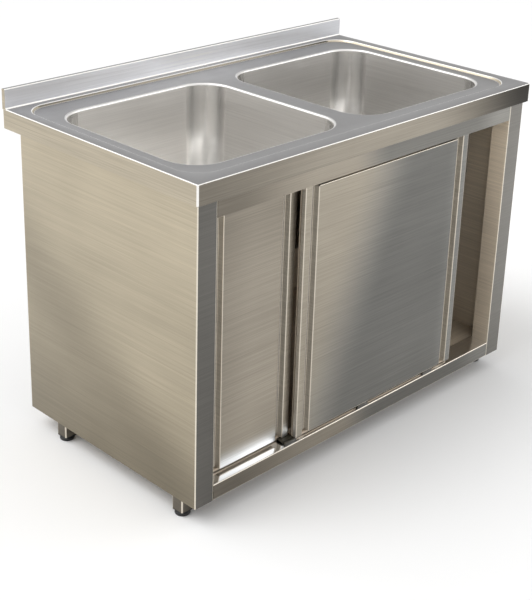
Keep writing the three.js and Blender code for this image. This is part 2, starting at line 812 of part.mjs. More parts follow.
// Plug in the leg's end: a cap under the tube and a block inside it, bored for the stem.
function legInsert() {
  const capTop = FOOT_HEIGHT + SEAM + INSERT_CAP;
  const inside = LEG_SIDE - 2 * LEG_WALL - 2 * SEAM;
  const bore = STEM_RADIUS + STEM_CLEARANCE;
  return join(
    squareRing(LEG_SIDE, FOOT_HEIGHT + SEAM, capTop, roundBore(bore)),
    squareRing(inside, capTop, legBottom + INSERT_DEPTH, roundBore(bore)),
  );
}

const levellingFoot = () => revolve(
  [
    [0, 0],
    [FOOT_RADIUS, 0],
    [FOOT_RADIUS, FOOT_HEIGHT / 2],
    [FOOT_RADIUS * 0.8, FOOT_HEIGHT],
    [STEM_RADIUS, FOOT_HEIGHT],
    [STEM_RADIUS, FOOT_HEIGHT + STEM_LENGTH],
    [0, FOOT_HEIGHT + STEM_LENGTH],
  ],
  ROLLER_STEPS,
);

function legGroup([place, x, y]) {
  const group = new THREE.Group();
  group.add(
    piece(`leg_${place}`, legTube(), finishes.frame),
    piece(`leg_insert_${place}`, legInsert(), finishes.black),
    piece(`foot_${place}`, levellingFoot(), finishes.black),
  );
  group.position.set(x, y, 0);
  return group;
}

// ---- Door gear fixed to the cabinet ----

// Double track: two upturned lips on which the rollers run, each hung from its own web.
function topTrack() {
  const lip = (doorY) => doorY + ROLLER_LINE - TRACK_SHEET / 2;
  const web = (doorY) => lip(doorY) - TRACK_POCKET;
  const top = shellTop - PANEL_SHEET - SEAM;
  const section = foldedSheet(
    [
      [lip(frontDoorY) + TRACK_SHEET, trackLipTop],
      [lip(frontDoorY) + TRACK_SHEET, trackBottom],
      [web(frontDoorY), trackBottom],
      [web(frontDoorY), top],
      [web(rearDoorY) + TRACK_SHEET, top],
      [web(rearDoorY) + TRACK_SHEET, trackBottom + TRACK_SHEET],
      [lip(rearDoorY), trackBottom + TRACK_SHEET],
      [lip(rearDoorY), trackLipTop],
    ],
    TRACK_SHEET,
    -1,
  );
  return running(section, -railEnd, railEnd);
}

// Guide block on the tray: three fins with a slot for each door's lip between them.
function guideBlock() {
  const base = trayTop + SEAM;
  const top = doorBottom - SEAM - DOOR_SHEET - SEAM - SEAM;
  const lips = [frontDoorY, rearDoorY].map((y) => y + LIP_SETBACK + DOOR_SHEET / 2);
  const half = GUIDE_LENGTH / 2;
  const slot = GUIDE_SLOT / 2;
  const body = block(-half, half, lips[0] - slot - GUIDE_WALL, lips[1] + slot + GUIDE_WALL, base, top);
  const slots = lips.map((y) => block(-half - 1, half + 1, y - slot, y + slot, base + SEAM * 2, top + 1));
  return cut(body, ...slots);
}

function guideBlocks() {
  const places = { left: -guideX, middle: 0, right: guideX };
  return Object.entries(places).map(([place, x]) => {
    const mesh = piece(`guide_block_${place}`, guideBlock(), finishes.black);
    mesh.position.x = x;
    return mesh;
  });
}

// ---- Doors, drawn from the door's left edge and face ----

// Outer skin: each edge carries a flange and a deep finger-pull groove; the panel between the
// grooves stops short of the rail and is folded in at top and bottom.
function doorSkin(width) {
  const groove = PULL_FLANGE + PULL_WIDTH;
  const section = foldedSheet(
    [
      [0, DOOR_END_FOLD],
      [0, 0],
      [PULL_FLANGE, 0],
      [PULL_FLANGE, PULL_DEPTH],
      [groove, PULL_DEPTH],
      [groove, 0],
      [width - groove, 0],
      [width - groove, PULL_DEPTH],
      [width - PULL_FLANGE, PULL_DEPTH],
      [width - PULL_FLANGE, 0],
      [width, 0],
      [width, DOOR_END_FOLD],
    ],
    DOOR_SHEET,
  );
  const skin = standing(section, doorBottom, doorTailTop);
  const window = block(
    groove - DOOR_SHEET,
    width - groove + DOOR_SHEET,
    -DOOR_SHEET,
    PULL_DEPTH,
    doorTop,
    doorTailTop + DOOR_SHEET,
  );
  const foldDepth = PULL_DEPTH - HANGER_SHEET - 2 * DOOR_SHEET;
  const [left, right] = [groove + DOOR_SHEET / 2, width - groove - DOOR_SHEET / 2];
  const topFold = block(left, right, DOOR_SHEET / 2, foldDepth, doorTop - DOOR_SHEET, doorTop);
  const lowFold = block(left, right, DOOR_SHEET / 2, foldDepth, doorBottom, doorBottom + DOOR_SHEET);
  return join(cut(skin, window), topFold, lowFold);
}

// Inner skin: flat back, folded forward under the door and down into the guide lip.
function doorBack(width) {
  const back = DOOR_THICKNESS;
  const under = doorBottom - SEAM;
  const section = foldedSheet(
    [
      [back, doorTailTop],
      [back, under - DOOR_SHEET],
      [LIP_SETBACK, under - DOOR_SHEET],
      [LIP_SETBACK, trayTop + LIP_TOE],
    ],
    DOOR_SHEET,
    -1,
  );
  return running(section, DOOR_SHEET * 2, width - DOOR_SHEET * 2);
}

// Hanger: plate riveted to the inner skin, with the roller's headed axle pointing forward.
function hanger() {
  const back = DOOR_THICKNESS - DOOR_SHEET - SEAM;
  const front = back - HANGER_SHEET;
  const half = HANGER_WIDTH / 2;
  const plate = block(-half, half, front, back, doorTop - HANGER_GRIP, axleZ + HANGER_CROWN);
  const rollerFront = ROLLER_LINE - ROLLER_WIDTH / 2;
  const tip = rollerFront - SEAM;
  const axle = revolve(
    [
      [0, -front - DOOR_SHEET],
      [AXLE_RADIUS, -front - DOOR_SHEET],
      [AXLE_RADIUS, -tip],
      [AXLE_HEAD_RADIUS, -tip],
      [AXLE_HEAD_RADIUS, -tip + AXLE_HEAD],
      [0, -tip + AXLE_HEAD],
    ],
    ROLLER_STEPS,
  );
  return join(plate, axle.rotate([90, 0, 0]).translate([0, 0, axleZ]));
}

// Grooved roller that straddles the track's lip.
function roller() {
  const half = ROLLER_WIDTH / 2;
  const groove = ROLLER_GROOVE / 2;
  const bore = AXLE_RADIUS + AXLE_CLEARANCE;
  const wheel = revolve(
    [
      [bore, -half],
      [ROLLER_RADIUS - 1, -half],
      [ROLLER_RADIUS, -half + 1],
      [ROLLER_RADIUS, -groove],
      [ROLLER_TREAD, -groove],
      [ROLLER_TREAD, groove],
      [ROLLER_RADIUS, groove],
      [ROLLER_RADIUS, half - 1],
      [ROLLER_RADIUS - 1, half],
      [bore, half],
    ],
    ROLLER_STEPS,
  );
  return wheel.rotate([90, 0, 0]);
}

function doorGroup(name, width, x, y) {
  const group = new THREE.Group();
  group.add(
    piece(`door_${name}_skin`, doorSkin(width), finishes.door),
    piece(`door_${name}_back`, doorBack(width), finishes.inside),
  );
  const places = { a: HANGER_INSET + HANGER_WIDTH / 2, b: width - HANGER_INSET - HANGER_WIDTH / 2 };
  for (const [end, u] of Object.entries(places)) {
    const plate = piece(`door_${name}_hanger_${end}`, hanger(), finishes.frame);
    plate.position.x = u;
    const wheel = piece(`door_${name}_roller_${end}`, roller(), finishes.nylon);
    wheel.position.set(u, ROLLER_LINE, axleZ);
    group.add(plate, wheel);
  }
  group.position.set(x, y, 0);
  return group;
}

// ---- Assembly ----

const sink = new THREE.Group();
sink.add(
  worktop(),
  bowlGroup('left', -bowlX),
  bowlGroup('right', bowlX),
  piece('side_panel_left', sidePanel(-1), finishes.panel),
  piece('side_panel_right', sidePanel(1), finishes.panel),
  piece('back_panel', backPanel(), finishes.inside),
  piece('top_rail', topRail(), finishes.frame),
  piece('bottom_rail', bottomRail(), finishes.frame),
  piece('bottom_shelf', bottomShelf(), finishes.inside),
  piece('shelf_stiffener', shelfStiffener(), finishes.inside),
  piece('deck_brace_middle', deckBraceMiddle(), finishes.inside),
  piece('deck_brace_rear', deckBraceRear(), finishes.inside),
  piece('top_track', topTrack(), finishes.inside),
  ...guideBlocks(),
  ...legPlaces.map(legGroup),
  doorGroup('left', REAR_DOOR_WIDTH, -closedEdge, rearDoorY),
  doorGroup('middle', middleDoorWidth, MIDDLE_DOOR_OPEN - middleDoorWidth / 2, frontDoorY),
  doorGroup('right', REAR_DOOR_WIDTH, closedEdge - REAR_DOOR_WIDTH - RIGHT_DOOR_OPEN, rearDoorY),
);

export default sink;
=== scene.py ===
import json
import math
import bmesh
import bpy
from mathutils import Matrix, Vector


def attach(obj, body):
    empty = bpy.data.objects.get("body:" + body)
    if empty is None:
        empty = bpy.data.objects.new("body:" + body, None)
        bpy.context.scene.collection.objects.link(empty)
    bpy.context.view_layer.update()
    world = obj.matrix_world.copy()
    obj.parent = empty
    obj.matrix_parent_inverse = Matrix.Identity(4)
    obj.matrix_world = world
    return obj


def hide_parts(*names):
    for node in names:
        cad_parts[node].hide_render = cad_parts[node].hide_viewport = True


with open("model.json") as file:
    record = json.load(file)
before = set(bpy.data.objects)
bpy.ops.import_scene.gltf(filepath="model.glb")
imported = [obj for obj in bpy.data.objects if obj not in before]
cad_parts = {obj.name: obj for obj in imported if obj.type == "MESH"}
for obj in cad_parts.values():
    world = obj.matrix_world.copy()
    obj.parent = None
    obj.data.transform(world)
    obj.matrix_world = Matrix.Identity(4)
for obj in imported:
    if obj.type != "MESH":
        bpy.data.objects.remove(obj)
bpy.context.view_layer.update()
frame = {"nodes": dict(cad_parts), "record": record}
print("frame loaded:", len(frame["nodes"]), "nodes")


# A dictionary whose values can also be read as names
class Settings(dict):
    __getattr__ = dict.__getitem__


# Camera at the photograph's angle. The lens keeps the whole unit in a 532 x 600 frame.
cameraSettings = Settings(
    place=(-2.2757, -2.1865, 1.7768),
    yaw=45.65,
    pitch=-21.48,
    roll=1.74,
    lens=77.3,
    sensor=36.0,
    shiftY=-0.15,
    clipEnd=60.0,
)


def addObject(name, data):
    item = bpy.data.objects.new(name, data)
    bpy.context.scene.collection.objects.link(item)
    return item


def makeCamera(s):
    data = bpy.data.cameras.new("camera")
    data.lens = s.lens
    data.sensor_width = s.sensor
    data.shift_y = s.shiftY
    data.clip_end = s.clipEnd
    camera = addObject("camera", data)
    yaw, pitch, roll = (math.radians(s[k]) for k in ("yaw", "pitch", "roll"))
    ahead = Vector((math.sin(yaw) * math.cos(pitch), math.cos(yaw) * math.cos(pitch), math.sin(pitch)))
    right = Vector((math.cos(yaw), -math.sin(yaw), 0.0))
    up = right.cross(ahead)
    side = right * math.cos(roll) + up * math.sin(roll)
    top = up * math.cos(roll) - right * math.sin(roll)
    turn = Matrix((side, top, -ahead)).transposed()
    camera.matrix_world = Matrix.Translation(s.place) @ turn.to_4x4()
    bpy.context.scene.camera = camera


makeCamera(cameraSettings)


# Nodes. Each input is a number, a list of numbers or a link.

def setInputs(node, inputs):
    for socket, value in inputs.items():
        if isinstance(value, bpy.types.NodeSocket):
            node.id_data.links.new(value, node.inputs[socket])
        else:
            node.inputs[socket].default_value = value
    return node


def addNode(tree, kind, inputs, family="ShaderNode", **settings):
    node = tree.nodes.new(family + kind)
    for key, value in settings.items():
        setattr(node, key, value)
    return setInputs(node, inputs)


def joined(tree, kind, inputs, family="ShaderNode", **settings):
    return addNode(tree, kind, inputs, family, **settings).outputs[0]


def grown(tree, kind, inputs, **settings):
    return joined(tree, kind, inputs, "GeometryNode", **settings)


def combine(tree, first, second, operation="ADD"):
    return joined(tree, "Math", {0: first, 1: second}, operation=operation)


def multiplied(tree, first, second):
    return combine(tree, first, second, "MULTIPLY")


def absolute(tree, value):
    return combine(tree, value, 0.0, "ABSOLUTE")


def spread(tree, value, low, high, fromLow=0.3, fromHigh=0.7, **settings):
    return joined(tree, "MapRange", {
        "Value": value, "From Min": fromLow, "From Max": fromHigh, "To Min": low, "To Max": high}, **settings)


def toned(tree, color, factor):
    return joined(tree, "VectorMath", {0: color, "Scale": factor}, operation="SCALE")


def mixed(tree, factor, first, second):
    return addNode(tree, "Mix", {0: factor, 6: first, 7: second}, data_type="RGBA").outputs[2]


def split(tree, vector):
    return addNode(tree, "SeparateXYZ", {0: vector}).outputs


def objectPlace(tree):
    return addNode(tree, "TexCoord", {}).outputs["Object"]


def normalOf(tree, kind="True Normal"):
    return addNode(tree, "NewGeometry", {}).outputs[kind]


def noiseAt(tree, vector, detail, roughness, offset):
    moved = joined(tree, "Mapping", {"Vector": vector, "Location": offset})
    return joined(tree, "TexNoise", {"Vector": moved, "Scale": 1.0, "Detail": detail, "Roughness": roughness})


def objectPattern(tree, scale, detail, roughness, offset=(0.0, 0.0, 0.0)):
    stretched = joined(tree, "VectorMath", {0: objectPlace(tree), 1: scale}, operation="MULTIPLY")
    return noiseAt(tree, stretched, detail, roughness, offset)


# Finishes

def newMaterial(name):
    material = bpy.data.materials.new(name)
    material.use_nodes = True
    tree = material.node_tree
    return material, tree, tree.nodes["Principled BSDF"]


def linear(rgb):
    parts = [v / 255 for v in rgb]
    return tuple(c / 12.92 if c <= 0.04045 else ((c + 0.055) / 1.055) ** 2.4 for c in parts)


# How squarely a face has to look along an axis, for the turn of its streaks and for its painted shade
lyingOn, facingOn = 0.7, 0.75
bumpDistance = 0.0002


# Streaks of the brushing. They lie level on upright faces and along X on flat ones, so across the
# streaks Z is always fine, and Y is fine only where the face looks up or down.
def brushStreaks(tree, slow, fast, offset):
    lying = combine(tree, absolute(tree, split(tree, normalOf(tree))["Z"]), lyingOn, "GREATER_THAN")
    scale = joined(tree, "CombineXYZ", {"X": slow, "Y": spread(tree, lying, slow, fast, 0.0, 1.0), "Z": fast})
    return objectPattern(tree, scale, 2.0, 0.6, offset)


# Painted light and shade: slow change along a direction, from one place to another, between two tones.
def paintedShadeAlong(tree, direction, start, end, low, high):
    along = addNode(tree, "VectorMath", {0: objectPlace(tree), 1: direction}, operation="DOT_PRODUCT")
    return spread(tree, along.outputs["Value"], low, high, start, end, interpolation_type="SMOOTHSTEP")


# What a face shows: its colour, its painted light and shade (tones), how much of the brushing's tone it
# takes (calm), and a second colour, a painted tint, that it turns to along a direction (fade).
def paint(color, *tones, calm=1.0, fade=None):
    return {"color": linear(color), "tones": tones, "calm": calm, "fade": fade}


# Colour of the sheet with painted shade: side, front and upward faces get their own lit or shaded colour.
def sheetColorWithPaintedShade(tree, s, tone):
    def painted(face):
        shade = combine(tree, multiplied(tree, tone, face["calm"]), 1.0 - face["calm"])
        for change in face["tones"]:
            shade = multiplied(tree, shade, paintedShadeAlong(tree, *change))
        color = toned(tree, face["color"], shade)
        if face["fade"]:
            *where, second = face["fade"]
            color = mixed(tree, paintedShadeAlong(tree, *where, 0.0, 1.0), color, toned(tree, linear(second), shade))
        return color

    ways = split(tree, normalOf(tree))
    color = painted(s.side)
    for face, axis in (("front", "Y"), ("flat", "Z")):
        if face in s:
            square = combine(tree, absolute(tree, ways[axis]), facingOn, "GREATER_THAN")
            color = mixed(tree, square, color, painted(s[face]))
    return color


# Painted reflections: upright light and dark bands painted on a drawn corner from one wall round to the
# other. They grow from one degree of turning to another.
def paintedCornerReflections(tree, count, depth, *turning):
    normal = split(tree, normalOf(tree, "Normal"))
    around = combine(tree, normal["Y"], normal["X"], "ARCTAN2")
    bands = combine(tree, multiplied(tree, around, 4.0 * count), 0.0, "COSINE")
    weight = spread(tree, absolute(tree, multiplied(tree, normal["X"], normal["Y"])), 0.0, depth, *turning)
    return combine(tree, 1.0, multiplied(tree, combine(tree, bands, 1.0, "SUBTRACT"), weight))


streakLayers = (  # scale along and across the streaks, offset, share of the streaks' depth
    (7.0, 900.0, (0.0, 0.0, 0.0), 1.0),
    (3.0, 320.0, (0.31, 0.17, 0.23), 1.5),
    (1.2, 80.0, (0.77, 0.41, 0.59), 0.4),
)
steelBase = Settings(
    roughness=0.34, roughSpread=0.03, streak=0.07, cloud=0.05, cloudScale=2.4, smudge=0.06,
    smudgeScale=9.0, bump=0.02, anisotropy=0.5, metallic=1.0, grainAxis=(0.013, -0.31, 1.0),
    # detail, roughness and offset of the patterns of clouds and smudges, and where smudges show
    cloudNoise=(2.0, 0.5, (0.6, 0.1, 0.3)), smudgeNoise=(5.0, 0.62, (1.3, 0.2, 2.1)),
    smudgeFrom=(0.52, 0.72),
)


def brushedSteel(name, **changes):
    s = Settings(steelBase, **changes)
    material, tree, shader = newMaterial(name)
    streaks = [brushStreaks(tree, slow, fast, offset) for slow, fast, offset, share in streakLayers]
    cloud = objectPattern(tree, [s.cloudScale] * 3, *s.cloudNoise)
    smudge = objectPattern(tree, [s.smudgeScale] * 3, *s.smudgeNoise)
    depths = [s.streak * share for slow, fast, offset, share in streakLayers]
    tone = 1.0
    for pattern, depth in zip(streaks + [cloud], depths + [s.cloud]):
        tone = multiplied(tree, tone, spread(tree, pattern, 1 - depth, 1 + depth))
    if "corner" in s:
        tone = multiplied(tree, tone, paintedCornerReflections(tree, *s.corner))
    rough = spread(tree, streaks[1], s.roughness - s.roughSpread, s.roughness + s.roughSpread)
    height = combine(tree, combine(tree, streaks[0], streaks[1]), streaks[2])
    setInputs(shader, {
        "Base Color": sheetColorWithPaintedShade(tree, s, tone),
        "Roughness": combine(tree, rough, spread(tree, smudge, 0.0, s.smudge, *s.smudgeFrom)),
        "Normal": joined(tree, "Bump", {
            "Strength": s.bump, "Distance": bumpDistance, "Height": height}),
        "Tangent": joined(tree, "VectorMath", {
            0: normalOf(tree, "Normal"), 1: s.grainAxis}, operation="CROSS_PRODUCT"),
        "Anisotropic": s.anisotropy, "Metallic": s.metallic})
    return material


plasticBase = Settings(
    wearScale=45.0, wearOffset=(0.4, 0.9, 0.1), detail=4.0, noise=0.6, bump=0.35,
    grainTone=(0.86, 1.12), wearTone=(0.9, 1.15), smoother=0.08, rougher=0.1,
)


def plasticMaterial(name, color, roughness, speckle):
    s = plasticBase
    material, tree, shader = newMaterial(name)
    grain = objectPattern(tree, [speckle] * 3, s.detail, s.noise)
    wear = objectPattern(tree, [s.wearScale] * 3, s.detail, s.noise, s.wearOffset)
    tone = multiplied(tree, spread(tree, grain, *s.grainTone), spread(tree, wear, *s.wearTone))
    setInputs(shader, {
        "Base Color": toned(tree, linear(color), tone),
        "Roughness": spread(tree, wear, roughness - s.smoother, roughness + s.rougher),
        "Normal": joined(tree, "Bump", {
            "Strength": s.bump, "Distance": bumpDistance, "Height": grain})})
    return material


# Directions of painted light and shade. Its start and end are in metres from the unit's origin.
alongX, alongZ = (1.0, 0.0, 0.0), (0.0, 0.0, 1.0)
acrossSide, acrossFront = (0.0, -0.59, 0.81), (1.0, 0.0, -0.38)
looks = {  # finish of each slot of the record
    # deck: painted shade by face direction, and the apron front painted darker toward its ends
    "worktop_steel": brushedSteel(
        "deckSteel", roughness=0.36, cloud=0.03, streak=0.08, side=paint((188, 178, 159)),
        flat=paint((149, 148, 148), calm=0.2),
        front=paint((152, 145, 133), (alongX, -0.6, -0.15, 0.62, 1.06), (alongX, 0.15, 0.6, 1.0, 0.1))),
    # bowls: painted shade, upward faces darker than the walls, and the walls darker toward +X
    "bowl_steel": brushedSteel(
        "bowlSteel", streak=0.03, anisotropy=0.4, cloud=0.07,
        side=paint((244, 242, 239), (alongX, -0.1, 0.15, 1.0, 0.85)), flat=paint((214, 213, 211), calm=0.5)),
    # side panels: painted shade low down, painted light high up, and a painted dark reflection band
    "panel_steel": brushedSteel(
        "panelSteel", cloud=0.08, streak=0.055,
        side=paint((176, 166, 146), (alongZ, 0.05, 0.35, 0.68, 1.0), (alongZ, 0.45, 0.8, 1.0, 1.16),
                   (acrossSide, 0.22, 0.40, 0.78, 1.0), (acrossSide, 0.08, 0.22, 1.18, 1.0)),
        # front faces: a darker painted-shade copy, painted lighter toward +X
        front=paint((102, 100, 96), (alongX, -0.5, 0.5, 1.0, 1.6))),
    # doors: painted shade high and at the left end, painted light low, a painted tray reflection at the foot
    "door_steel": brushedSteel(
        "doorSteel", cloud=0.09,
        side=paint((170, 171, 170), (alongZ, 0.5, 0.74, 1.0, 0.74), (alongX, -0.52, -0.38, 0.78, 1.0),
                   (alongZ, 0.15, 0.5, 1.22, 1.0), (alongZ, 0.106, 0.148, 1.9, 1.0),
                   fade=(alongZ, 0.112, 0.155, (162, 154, 141)))),
    # frame: painted shade at the left end, from the middle rightward and low down, with a neutral painted
    # tint
    "frame_steel": brushedSteel(
        "frameSteel",
        side=paint((160, 152, 139), (alongX, -0.5, -0.2, 0.5, 1.0), (alongX, -0.1, 0.05, 1.0, 0.55),
                   (alongX, 0.38, 0.5, 1.0, 1.4), (alongZ, 0.1, 0.7, 0.92, 1.0),
                   fade=(alongX, -0.1, 0.05, (160, 158, 152)))),
    # inner finish: painted shade, darker toward the bottom
    "inner_steel": brushedSteel(
        "innerSteel", roughness=0.50, cloud=0.08, metallic=0.15,
        side=paint((226, 210, 187), (alongZ, 0.1, 0.7, 0.72, 1.0))),
    "polished_steel": brushedSteel(
        "polishedSteel", side=paint((232, 232, 230)), roughness=0.12, streak=0.01, cloud=0.02, bump=0.01,
        anisotropy=0.0),
    "black_plastic": plasticMaterial("blackPlastic", (22, 22, 23), 0.45, 900.0),
    "nylon": plasticMaterial("whiteNylon", (222, 219, 210), 0.4, 700.0),
    "rubber": plasticMaterial("blackRubber", (28, 27, 27), 0.75, 1400.0),
}

# Finishes of single pieces and faces
# middle door: painted reflection, darker and cooler past a slanting line, lighter low and at the right end
frontDoorLook = brushedSteel(
    "frontDoorSteel", cloud=0.08,
    side=paint((163, 155, 141), (acrossFront, -0.36, -0.12, 1.0, 0.43), (alongZ, 0.1, 0.4, 1.3, 1.0),
               (alongX, 0.27, 0.36, 1.0, 1.35), fade=(acrossFront, -0.36, -0.12, (166, 165, 160))))
# pull grooves: a lighter, less metallic copy of the door steel, painted light in the recesses
litGrooveLook = brushedSteel("pullSteel", side=paint((192, 187, 178)), metallic=0.75)
trayLook = brushedSteel("traySteel", side=paint((252, 252, 255)), roughness=0.14, smudge=0.02, cloud=0.02,
                        streak=0.02, anisotropy=0.0)
guideLook = plasticMaterial("guidePlastic", (62, 58, 48), 0.4, 900.0)
# upstand front: painted light, a near-white copy of the deck steel, painted darker toward both ends
upstandLook = brushedSteel(
    "upstandSteel", cloud=0.03, streak=0.04, metallic=0.85,
    side=paint((250, 251, 255), (alongX, -0.6, 0.0, 0.8, 1.0), (alongX, 0.0, 0.5, 1.0, 0.6)))
# bowl corners: a near-white painted highlight with painted reflection bands
cornerHighlightLook = brushedSteel("bowlCornerSteel", side=paint((252, 251, 249)), roughness=0.21, smudge=0.02,
                          streak=0.02, anisotropy=0.4, cloud=0.04,
                          corner=(2.0, 0.14, 0.02, 0.2))
backLook = brushedSteel("backSteel", roughness=0.42, side=paint((160, 155, 145)))
foldHighlightColors = {  # painted highlights: near-white lines along the bends
    "worktop_steel": ("deckEdgeSteel", (248, 246, 242)),
    "bowl_steel": ("bowlLipSteel", (234, 232, 229)),
    "panel_steel": ("panelFoldSteel", (228, 221, 206)),
    "door_steel": ("doorFoldSteel", (214, 206, 192)),
    "frame_steel": ("railFoldSteel", (222, 214, 200)),
}
foldHighlightLooks = {slot: brushedSteel(name, side=paint(color), streak=0.02, bump=0.005)
             for slot, (name, color) in foldHighlightColors.items()}

slotOf = {p["node"]: p["material_slot"] for p in frame["record"]["subparts"]}
bodyOf = {node: body for body, nodes in frame["record"]["behaviour"]["bodies"].items() for node in nodes}
for nodeName, cadObject in frame["nodes"].items():
    cadObject.data.materials.clear()
    cadObject.data.materials.append(looks[slotOf[nodeName]])
print("finishes made:", len(looks))


# Mesh making. Sizes are in millimetres until a piece is finished.
meshSettings = Settings(merge=0.001, foldSquare=0.9985, smooth=32.0)  # a fold is what lies square to no axis
squareOn, halfOn = 0.9, 0.5  # how squarely a face has to look along an axis to get its own finish


def meshFrom(bm, name, smooth=None):
    mesh = bpy.data.meshes.new(name)
    bm.to_mesh(mesh)
    bm.free()
    if smooth:
        shade(mesh, smooth)
    return mesh


def shade(mesh, degrees):
    for polygon in mesh.polygons:
        polygon.use_smooth = True
    mesh.set_sharp_from_angle(angle=math.radians(degrees))


def toMetres(bm, merged):
    if merged:
        bmesh.ops.remove_doubles(bm, verts=bm.verts, dist=meshSettings.merge)
    bmesh.ops.recalc_face_normals(bm, faces=bm.faces)
    bmesh.ops.scale(bm, vec=(0.001, 0.001, 0.001), verts=bm.verts)


def placePiece(piece, node=None, body=None):
    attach(piece, body or bodyOf[node])
    if node:
        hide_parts(node)
    return piece


def finishPiece(name, bm, node, smooth=meshSettings.smooth, merged=False, fused=False):
    slot = slotOf[node]
    if fused:
        bm = fusedParts(bm, looks[slot])
    toMetres(bm, merged or fused)
    # faces of the bends take the painted fold highlight
    if slot in foldHighlightLooks:
        for face in bm.faces:
            face.material_index = int(max(abs(c) for c in face.normal) < meshSettings.foldSquare)
    mesh = meshFrom(bm, name, smooth)
    mesh.materials.append(looks[slot])
    if slot in foldHighlightLooks:
        mesh.materials.append(foldHighlightLooks[slot])
    return placePiece(addObject(name, mesh), node)


# More finishes for a piece. The rule picks one for each face, from its present number, normal and middle.
def paintFaces(piece, finishes, rule):
    for finish in finishes:
        piece.data.materials.append(finish)
    for polygon in piece.data.polygons:
        polygon.material_index = rule(polygon.material_index, polygon.normal, polygon.center * 1000)


# Points of an arc round a middle. Its ends are angles in quarter turns.
def arc(x, y, radius, start, end, steps):
    angles = [math.pi / 2 * (start + (end - start) * k / steps) for k in range(steps + 1)]
    return [(x + radius * math.cos(a), y + radius * math.sin(a)) for a in angles]


def eased(t):
    return (1 - math.cos(math.pi * t)) / 2


# A ring of points round a rectangle with rounded corners
def roundedRing(x0, x1, y0, y1, radius, z, steps):
    middles = [(x1 - radius, y1 - radius), (x0 + radius, y1 - radius), (x0 + radius, y0 + radius),
               (x1 - radius, y0 + radius)]
    return [(*p, z) for quarter, (x, y) in enumerate(middles)
            for p in arc(x, y, radius, quarter, quarter + 1, steps)]


def circle(x, y, radius, z, count, turn=0.0):
    angles = [2 * math.pi * (i + turn) / count for i in range(count)]
    return [(x + radius * math.cos(a), y + radius * math.sin(a), z) for a in angles]


# A circle with as many points as a rounded ring, so that the two can be joined
def circleRing(x, y, radius, z, steps):
    return circle(x, y, radius, z, 4 * (steps + 1), 0.5)


# Rings of a lathe's profile, given as (radius, z), about an upright line
def spun(profile, x, y, count):
    return [circle(x, y, radius, z, count) for radius, z in profile]


def bridge(bm, lower, upper):
    for i in range(len(lower)):
        j = (i + 1) % len(lower)
        bm.faces.new((lower[i], lower[j], upper[j], upper[i]))


def skinRings(bm, rings, closed=False):
    rows = [[bm.verts.new(p) for p in ring] for ring in rings]
    for lower, upper in zip(rows, rows[1:]):
        bridge(bm, lower, upper)
    if closed:
        bridge(bm, rows[-1], rows[0])
    return rows


def ringPiece(name, node, rings, closed=True, **settings):
    bm = bmesh.new()
    skinRings(bm, rings, closed)
    return finishPiece(name, bm, node, **settings)


def loopEdges(bm, row):
    return [bm.edges.get(pair) or bm.edges.new(pair) for pair in zip(row, row[1:] + row[:1])]


# Section of a folded sheet with rounded bends. The line is one face, the metal lies on its left
# (side 1) or right (side -1).
bendSettings = Settings(radius=1.0, steps=6)


def roundedLine(points, radii):
    line = [points[0]]
    for before, point, after, radius in zip(points, points[1:], points[2:], radii):
        back = (before - point).normalized()
        ahead = (after - point).normalized()
        half = math.acos(max(-1.0, min(1.0, back.dot(ahead)))) / 2
        centre = point + (back + ahead).normalized() * (radius / math.sin(half))
        start = point + back * (radius / math.tan(half)) - centre
        end = point + ahead * (radius / math.tan(half)) - centre
        sweep = math.atan2(start.x * end.y - start.y * end.x, start.dot(end))
        for k in range(bendSettings.steps + 1):
            line.append(Matrix.Rotation(sweep * k / bendSettings.steps, 2) @ start + centre)
    return line + [points[-1]]


def foldedSheet(corners, sheet, side=1):
    points = [Vector(c) for c in corners]
    normals = []
    for a, b in zip(points, points[1:]):
        along = (b - a).normalized()
        normals.append(Vector((-along.y, along.x)) * side)
    other = [points[0] + normals[0] * sheet]
    faceRadii, otherRadii = [], []
    for point, n0, n1 in zip(points[1:], normals, normals[1:]):
        other.append(point + (n0 + n1) * (sheet / (1 + n0.dot(n1))))
        outside = (n0.x * n1.y - n0.y * n1.x) * side > 0
        faceRadii.append(bendSettings.radius + (sheet if outside else 0))
        otherRadii.append(bendSettings.radius + (0 if outside else sheet))
    other.append(points[-1] + normals[-1] * sheet)
    return roundedLine(points, faceRadii) + roundedLine(other, otherRadii)[::-1]


# A section pushed along an axis: "z" from its plan, "x" from its (y, z)
def pushSection(bm, section, axis, start, end):
    rows = skinRings(bm, [[(*p, t) if axis == "z" else (t, *p) for p in section] for t in (start, end)])
    count = len(section)
    for row in rows:  # a folded sheet's line and its other face have the same number of points
        for i in range(count // 2 - 1):
            bm.faces.new((row[i], row[i + 1], row[count - 2 - i], row[count - 1 - i]))


def sheetAlongX(name, node, corners, sheet, side, x0, x1):
    bm = bmesh.new()
    pushSection(bm, foldedSheet(corners, sheet, side), "x", x0, x1)
    return finishPiece(name, bm, node)


def addBox(bm, low, high):
    low, high = Vector(low), Vector(high)
    bmesh.ops.create_cube(bm, size=1.0, matrix=Matrix.LocRotScale((low + high) / 2, None, high - low))


# A CAD piece with its edges broken, for parts that are plain folded or turned stock
bevelSettings = Settings(merge=0.00001, flat=1.0, sharp=50.0, segments=3)


